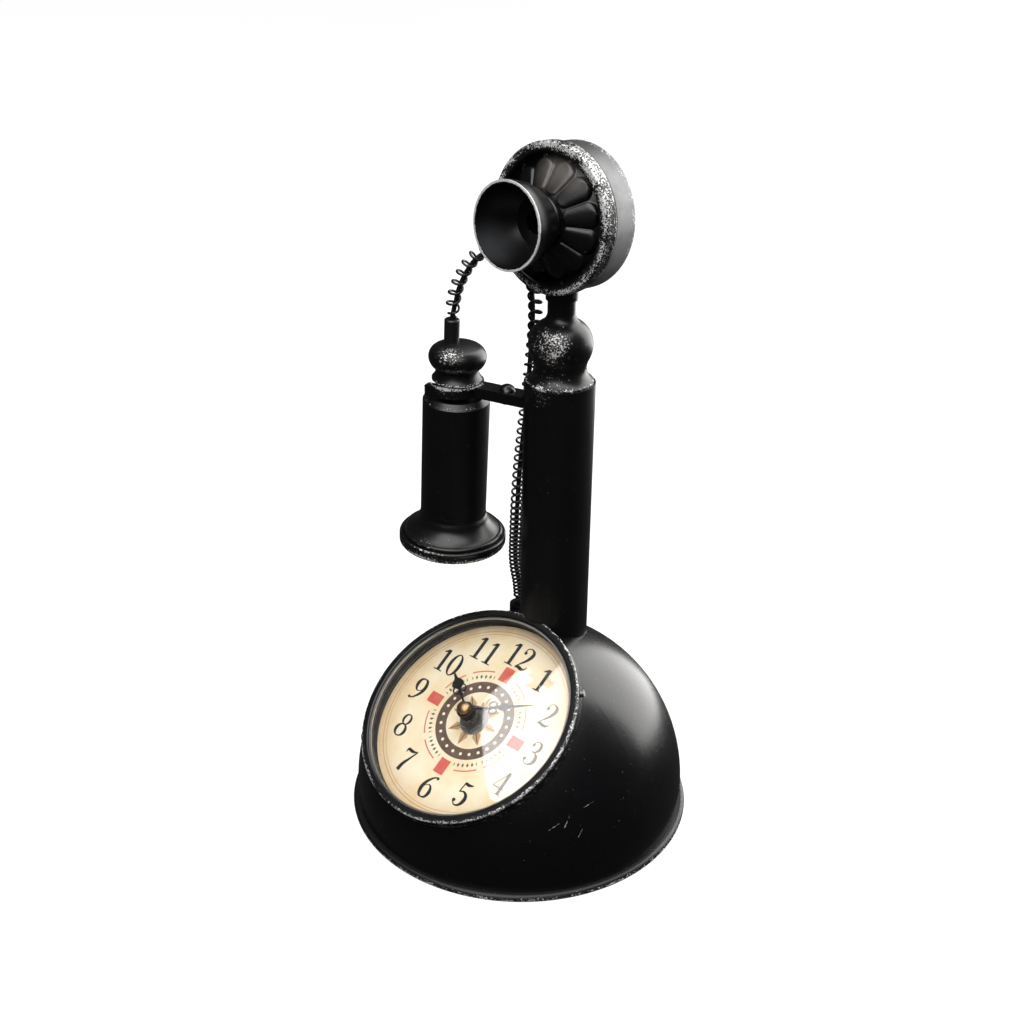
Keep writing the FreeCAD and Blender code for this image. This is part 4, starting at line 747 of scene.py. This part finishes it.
# Transmitter head: a pressed cup, a turned front ring with heavy silver on its edges, an embossed face and
# the horn of the mouthpiece screwed through it.
head_tilt = math.radians(5)
head_out = np.array((0.0, -math.cos(head_tilt), math.sin(head_tilt)))
head_up = np.array((0.0, math.sin(head_tilt), math.cos(head_tilt)))
head_right = np.array((1.0, 0.0, 0.0))
head_length = 0.0183
ring_width = 0.0058
face_front = 0.0147
face_rise = 0.0075
horn_mouth = face_front + face_rise + 0.0183
head_back = np.array((0.0, 0.0109, 0.2510)) - head_out * head_length
head_origin = tuple(head_back)
head_axis = tuple(head_out)
ring_radius = 0.0280
dress(aged_iron("ring_iron", [
    (head_origin, head_axis, ring_radius - 0.0012, head_length, 0.0032, 0.26),
    (head_origin, head_axis, ring_radius, head_length - ring_width * 0.5, 0.0030, 0.16),
    (head_origin, head_axis, ring_radius, head_length - ring_width, 0.0026, 0.22)], [
    ((0.0198, 0.0126, 0.2707), 0.030, 0.08)], fleck=0.0006), "front_ring")
cup_grey = (0.030, 0.030, 0.032, 1)
cup_painted_sheen = (0.34, 0.34, 0.35, 1)
# The right side of the cup is painted lighter grey towards two points: a painted sheen where the rear panel's
# light falls on it.
dress(aged_iron("cup_iron", [(head_origin, head_axis, 0.0272, 0.0020, 0.0040, 0.20)], painted_lights=[
    ((0.0272, 0.0235, 0.2560), 0.0300, cup_painted_sheen), ((0.0230, 0.0235, 0.2360), 0.0220, cup_painted_sheen)],
    ground=cup_grey, gloss=0.50), "transmitter_cup")
horn_painted_reflection = (0.050, 0.052, 0.056, 1)
# Inside the horn the lower left is painted grey: a painted reflection of the light from above on the inner
# wall.
dress(aged_iron("horn_iron", [(head_origin, head_axis, 0.0160, horn_mouth, 0.0010, 0.75)], painted_lights=[
    ((-0.0090, -0.0080, 0.2450), 0.0120, horn_painted_reflection)]), "mouthpiece")
dress(bright_steel("nut_iron", (0.3, 0.3, 0.3, 1), 0.4), "mouthpiece_nut")

face_hole = 0.00622
face_hub = 0.0102
face_foot = 0.0225
face_rim = 0.0258
face_thickness = 0.0012
petal_painted_light = (0.13, 0.120, 0.110, 1)
petal_count = 12
petal_inner = 0.0108
petal_outer = 0.0220
petal_gap = 0.0003
petal_low = 0.0007
petal_high = 0.0017
# The face is a grid of rays and distances from its middle. Each petal rises off the cone: its half width
# follows the ray's spacing and rounds off at the tip and the foot, and its crown falls as the cube of the
# distance from its middle line.
rays = np.linspace(0, 2 * math.pi, 480, endpoint=False)
reaches = np.concatenate([
    np.linspace(face_hole, petal_inner, 6), np.linspace(petal_inner, petal_outer, 44)[1:],
    np.linspace(petal_outer, face_rim, 6)[1:]])
share = np.clip((reaches - petal_inner) / (petal_outer - petal_inner), 0, 1)
round_tip = np.sqrt(1 - np.clip((share - 0.70) / 0.30, 0, 1) ** 2)
round_foot = np.sqrt(1 - np.clip(1 - share / 0.10, 0, 1) ** 2)
half = round_tip * round_foot * (reaches * math.sin(math.pi / petal_count) - petal_gap) + 1e-6
lean = (np.mod(rays * petal_count / (2 * math.pi), 1.0) - 0.5) * 2 * math.pi / petal_count
sideways = reaches[:, None] * np.sin(lean)[None, :]
crown = np.clip(1 - np.abs(sideways / half[:, None]) ** 3, 0, 1) ** 0.5
cone = face_front + np.interp(reaches, [face_hub, face_foot], [face_rise, 0])
front = cone[:, None] + (petal_low + (petal_high - petal_low) * share)[:, None] * crown
back_reaches = np.array([face_rim, face_foot, face_hub, face_hole])
back = face_front - face_thickness + np.interp(back_reaches, [face_hub, face_foot], [face_rise, 0])
plate_r = np.repeat(np.concatenate([reaches, back_reaches])[:, None], len(rays), axis=1)
plate_z = np.vstack([front, np.repeat(back[:, None], len(rays), axis=1)])
plate_points = (
    head_back + (plate_r * np.cos(rays))[..., None] * head_right
    + (plate_r * np.sin(rays))[..., None] * head_up + plate_z[..., None] * head_out).reshape(-1, 3)
# The upper petals are painted a lighter brown-grey towards two points: painted light where light from above
# falls on them.
face_iron = aged_iron("face_iron", gloss=0.30, painted_lights=[
    ((0.0030, 0.0090, 0.2730), 0.0150, petal_painted_light), ((0.0130, 0.0090, 0.2700), 0.0100, petal_painted_light)])
face_piece = add_piece("embossed_face", plate_points, skin_faces(len(plate_r), len(rays), True), face_iron,
                       "stand")
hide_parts("face_plate")

# Hook: a flat iron bracket welded to the column, a slotted fork on it and a domed rivet through both,
# painted black with silver rubbed on the fork's edge.
hook_turn = math.radians(180 + 15.4)
hook_reach = 0.0460
fork_top = 0.1771
fork_place = (hook_reach * math.cos(hook_turn), column_place[1] + hook_reach * math.sin(hook_turn), 0.0)
dress(aged_iron("fork_iron", [(fork_place, upward, 0.0111, fork_top, 0.0015, 0.26)], [
    ((-0.0403, -0.0024, fork_top), 0.0080, 0.24)]), "hook_fork", "hook_bracket")
dress(aged_iron("rivet_iron", gloss=0.26), "hook_rivet")

# Receiver: a hollow spun body with a flared ear end and an ear cap, a turned knob on a hanger neck and the
# ferrule of the cord; satin black with silver on the lip, the knob and the skirt.
receiver_ear = (-0.04685, 0.00689, 0.10405)
receiver_axis = (0.03533, 0.00973, 0.99933)
dress(aged_iron("receiver_iron", [
    (receiver_ear, receiver_axis, 0.0225, 0.0006, 0.0022, 0.24),
    (receiver_ear, receiver_axis, 0.0225, 0.0046, 0.0012, 0.12),
    (receiver_ear, receiver_axis, 0.0134, 0.0656, 0.0018, 0.12)], [
    ((-0.0430, -0.0146, 0.1060), 0.0140, 0.14)], spun=[(receiver_ear, receiver_axis, 0.0026, 0.0200)]),
    "receiver_body")
dress(aged_iron("knob_iron", [
    (receiver_ear, receiver_axis, 0.0102, 0.0739, 0.0015, 0.30),
    (receiver_ear, receiver_axis, 0.0112, 0.0808, 0.0014, 0.12)], [
    ((-0.0390, -0.0017, 0.1915), 0.0100, 0.22), ((-0.0500, 0.0160, 0.1900), 0.0100, 0.16)]), "receiver_knob")
dress(aged_iron("cap_iron"), "receiver_cap")
cord_black = moulded("cord_rubber", (0.010, 0.010, 0.011, 1), 0.32)
dress(cord_black, "cord_ferrule")

# Curly cord: a straight black core cable with a thin black wire wound round it, stretched over the top and
# close-wound lower down, from the receiver's ferrule to the gland in the dome.
cord_route = [
    (-0.04617, 0.00708, 0.20256), (-0.04587, 0.00717, 0.21106), (-0.0434, 0.0095, 0.2205),
    (-0.0396, 0.0124, 0.2282), (-0.0338, 0.0166, 0.2326), (-0.0276, 0.0212, 0.2318),
    (-0.0226, 0.0248, 0.2262), (-0.0200, 0.0264, 0.2170), (-0.0192, 0.0265, 0.2055),
    (-0.0198, 0.0259, 0.1918), (-0.0210, 0.0252, 0.1770), (-0.0224, 0.0245, 0.1600),
    (-0.0241, 0.0240, 0.1425), (-0.0258, 0.0245, 0.1245), (-0.0274, 0.0256, 0.1075),
    (-0.0288, 0.0266, 0.0920), (-0.0272, 0.0286, 0.0801), (-0.0272, 0.0286, 0.0716)]
coil_radius = 0.0030
wire_diameter = 0.0010
route_curve = bpy.data.curves.new("cord_route", "CURVE")
route_curve.dimensions = "3D"
route_curve.resolution_u = 24
route_line = route_curve.splines.new("NURBS")
route_line.points.add(len(cord_route) - 1)
route_line.points.foreach_set("co", [part for point in cord_route for part in (*point, 1.0)])
route_line.order_u = 3
route_line.use_endpoint_u = True
route_object = bpy.data.objects.new("cord_route", route_curve)
bpy.context.scene.collection.objects.link(route_object)
bpy.context.view_layer.update()
route_mesh = bpy.data.meshes.new_from_object(route_object)
route_points = np.empty(len(route_mesh.vertices) * 3)
route_mesh.vertices.foreach_get("co", route_points)
route_points = route_points.reshape(-1, 3)
bpy.data.objects.remove(route_object)
bpy.data.curves.remove(route_curve)
bpy.data.meshes.remove(route_mesh)


def along_line(line):
    """Unit vectors along a line of points: the difference of each point's neighbours."""
    steps = np.gradient(line, axis=0)
    return steps / np.linalg.norm(steps, axis=1, keepdims=True)


def round_wire(line, side, diameter, sides=10):
    """Tube round a line, with flat ends: at each point a circle across the line, from the side onwards."""
    ahead = along_line(line)
    spoke = side - np.sum(side * ahead, axis=1, keepdims=True) * ahead
    spoke /= np.linalg.norm(spoke, axis=1, keepdims=True)
    other = np.cross(ahead, spoke)
    angle = np.linspace(0, 2 * math.pi, sides, endpoint=False)[None, :, None]
    circle = np.cos(angle) * spoke[:, None, :] + np.sin(angle) * other[:, None, :]
    points = line[:, None, :] + diameter / 2 * circle
    faces = skin_faces(len(line), sides, False)[:, ::-1].tolist()
    last = sides * (len(line) - 1)
    faces += [list(range(sides))[::-1], [last + step for step in range(sides)]]
    return points.reshape(-1, 3), faces


def add_cord(name, line, side, diameter):
    """Cord of round wire along a line, in the shared frame; the imported curly cord is hidden."""
    points, faces = round_wire(line, side, diameter)
    mesh = bpy.data.meshes.new(name)
    mesh.from_pydata(points.tolist(), [], faces)
    mesh.polygons.foreach_set("use_smooth", [True] * len(mesh.polygons))
    mesh.materials.append(cord_black)
    piece = bpy.data.objects.new(name, mesh)
    bpy.context.scene.collection.objects.link(piece)
    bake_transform(piece)
    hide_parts("curly_cord")


# Along the route, from the ferrule: the pitch of the turns, and how far each turn leans along the route,
# which opens its loop towards the outside of the arch and, beside the column, towards the left.
run = np.concatenate([[0], np.cumsum(np.linalg.norm(np.diff(route_points, axis=0), axis=1))])
pitch_runs = (0.0, 0.028, 0.045, 0.060, 0.110, 0.148, 0.160, 0.175, 0.207)
pitches = (0.0043, 0.0042, 0.0036, 0.0040, 0.0042, 0.0040, 0.0028, 0.0020, 0.0017)
loop_runs = (0.0, 0.006, 0.035, 0.060, 0.080, 0.105, 0.160, 0.180)
loop_tilts = (0.0, 0.32, 0.32, 0.85, 0.85, -0.40, -0.40, 0.0)
open_side = (0.55, -0.83, 0.0)
steps_per_turn = 26
settle_length = 0.004
settle_share = 0.62
fine_run = np.linspace(0, run[-1], 4000)
pitch = np.interp(fine_run, pitch_runs, pitches)
turns = np.concatenate([[0], np.cumsum((fine_run[1:] - fine_run[:-1]) / pitch[1:])])
coil_turn = np.linspace(0, turns[-1], int(turns[-1] * steps_per_turn))
coil_run = np.interp(coil_turn, turns, fine_run)
spine = np.stack([np.interp(coil_run, run, route_points[:, axis]) for axis in range(3)], axis=1)
ahead = along_line(spine)
aside = np.cross(ahead, open_side)
aside /= np.linalg.norm(aside, axis=1, keepdims=True)
outward = np.cross(aside, ahead)
settle = np.clip(np.minimum(coil_run, run[-1] - coil_run) / settle_length, settle_share, 1)
coil_angle = -2 * math.pi * coil_turn
winding_radius = (coil_radius - wire_diameter / 2) * settle
loop_tilt = np.interp(coil_run, loop_runs, loop_tilts)
coil_line = spine + winding_radius[:, None] * (
    np.cos(coil_angle)[:, None] * aside
    + np.sin(coil_angle)[:, None] * (outward - loop_tilt[:, None] * ahead))
add_cord("curly_wire", coil_line, coil_line - spine, wire_diameter)

# The core runs inside the turns, a little towards the inside of the arch at the top.
core_diameter = 0.0020
core_shift = 0.0010
core_rise = 0.008
core_end = 0.110
core_fall = 0.030
arch_middle = np.array((-0.0325, 0.0175, 0.2120))
core_run = np.linspace(0, run[-1], 420)
core_spine = np.stack([np.interp(core_run, run, route_points[:, axis]) for axis in range(3)], axis=1)
core_ahead = along_line(core_spine)
inward = arch_middle - core_spine
inward -= np.sum(inward * core_ahead, axis=1, keepdims=True) * core_ahead
inward /= np.linalg.norm(inward, axis=1, keepdims=True)
core_ease = np.clip(core_run / core_rise, 0, 1) * np.clip((core_end - core_run) / core_fall, 0, 1)
core_line = core_spine + inward * (core_shift * core_ease)[:, None]
add_cord("cord_core", core_line, np.cross(core_ahead, inward), core_diameter)
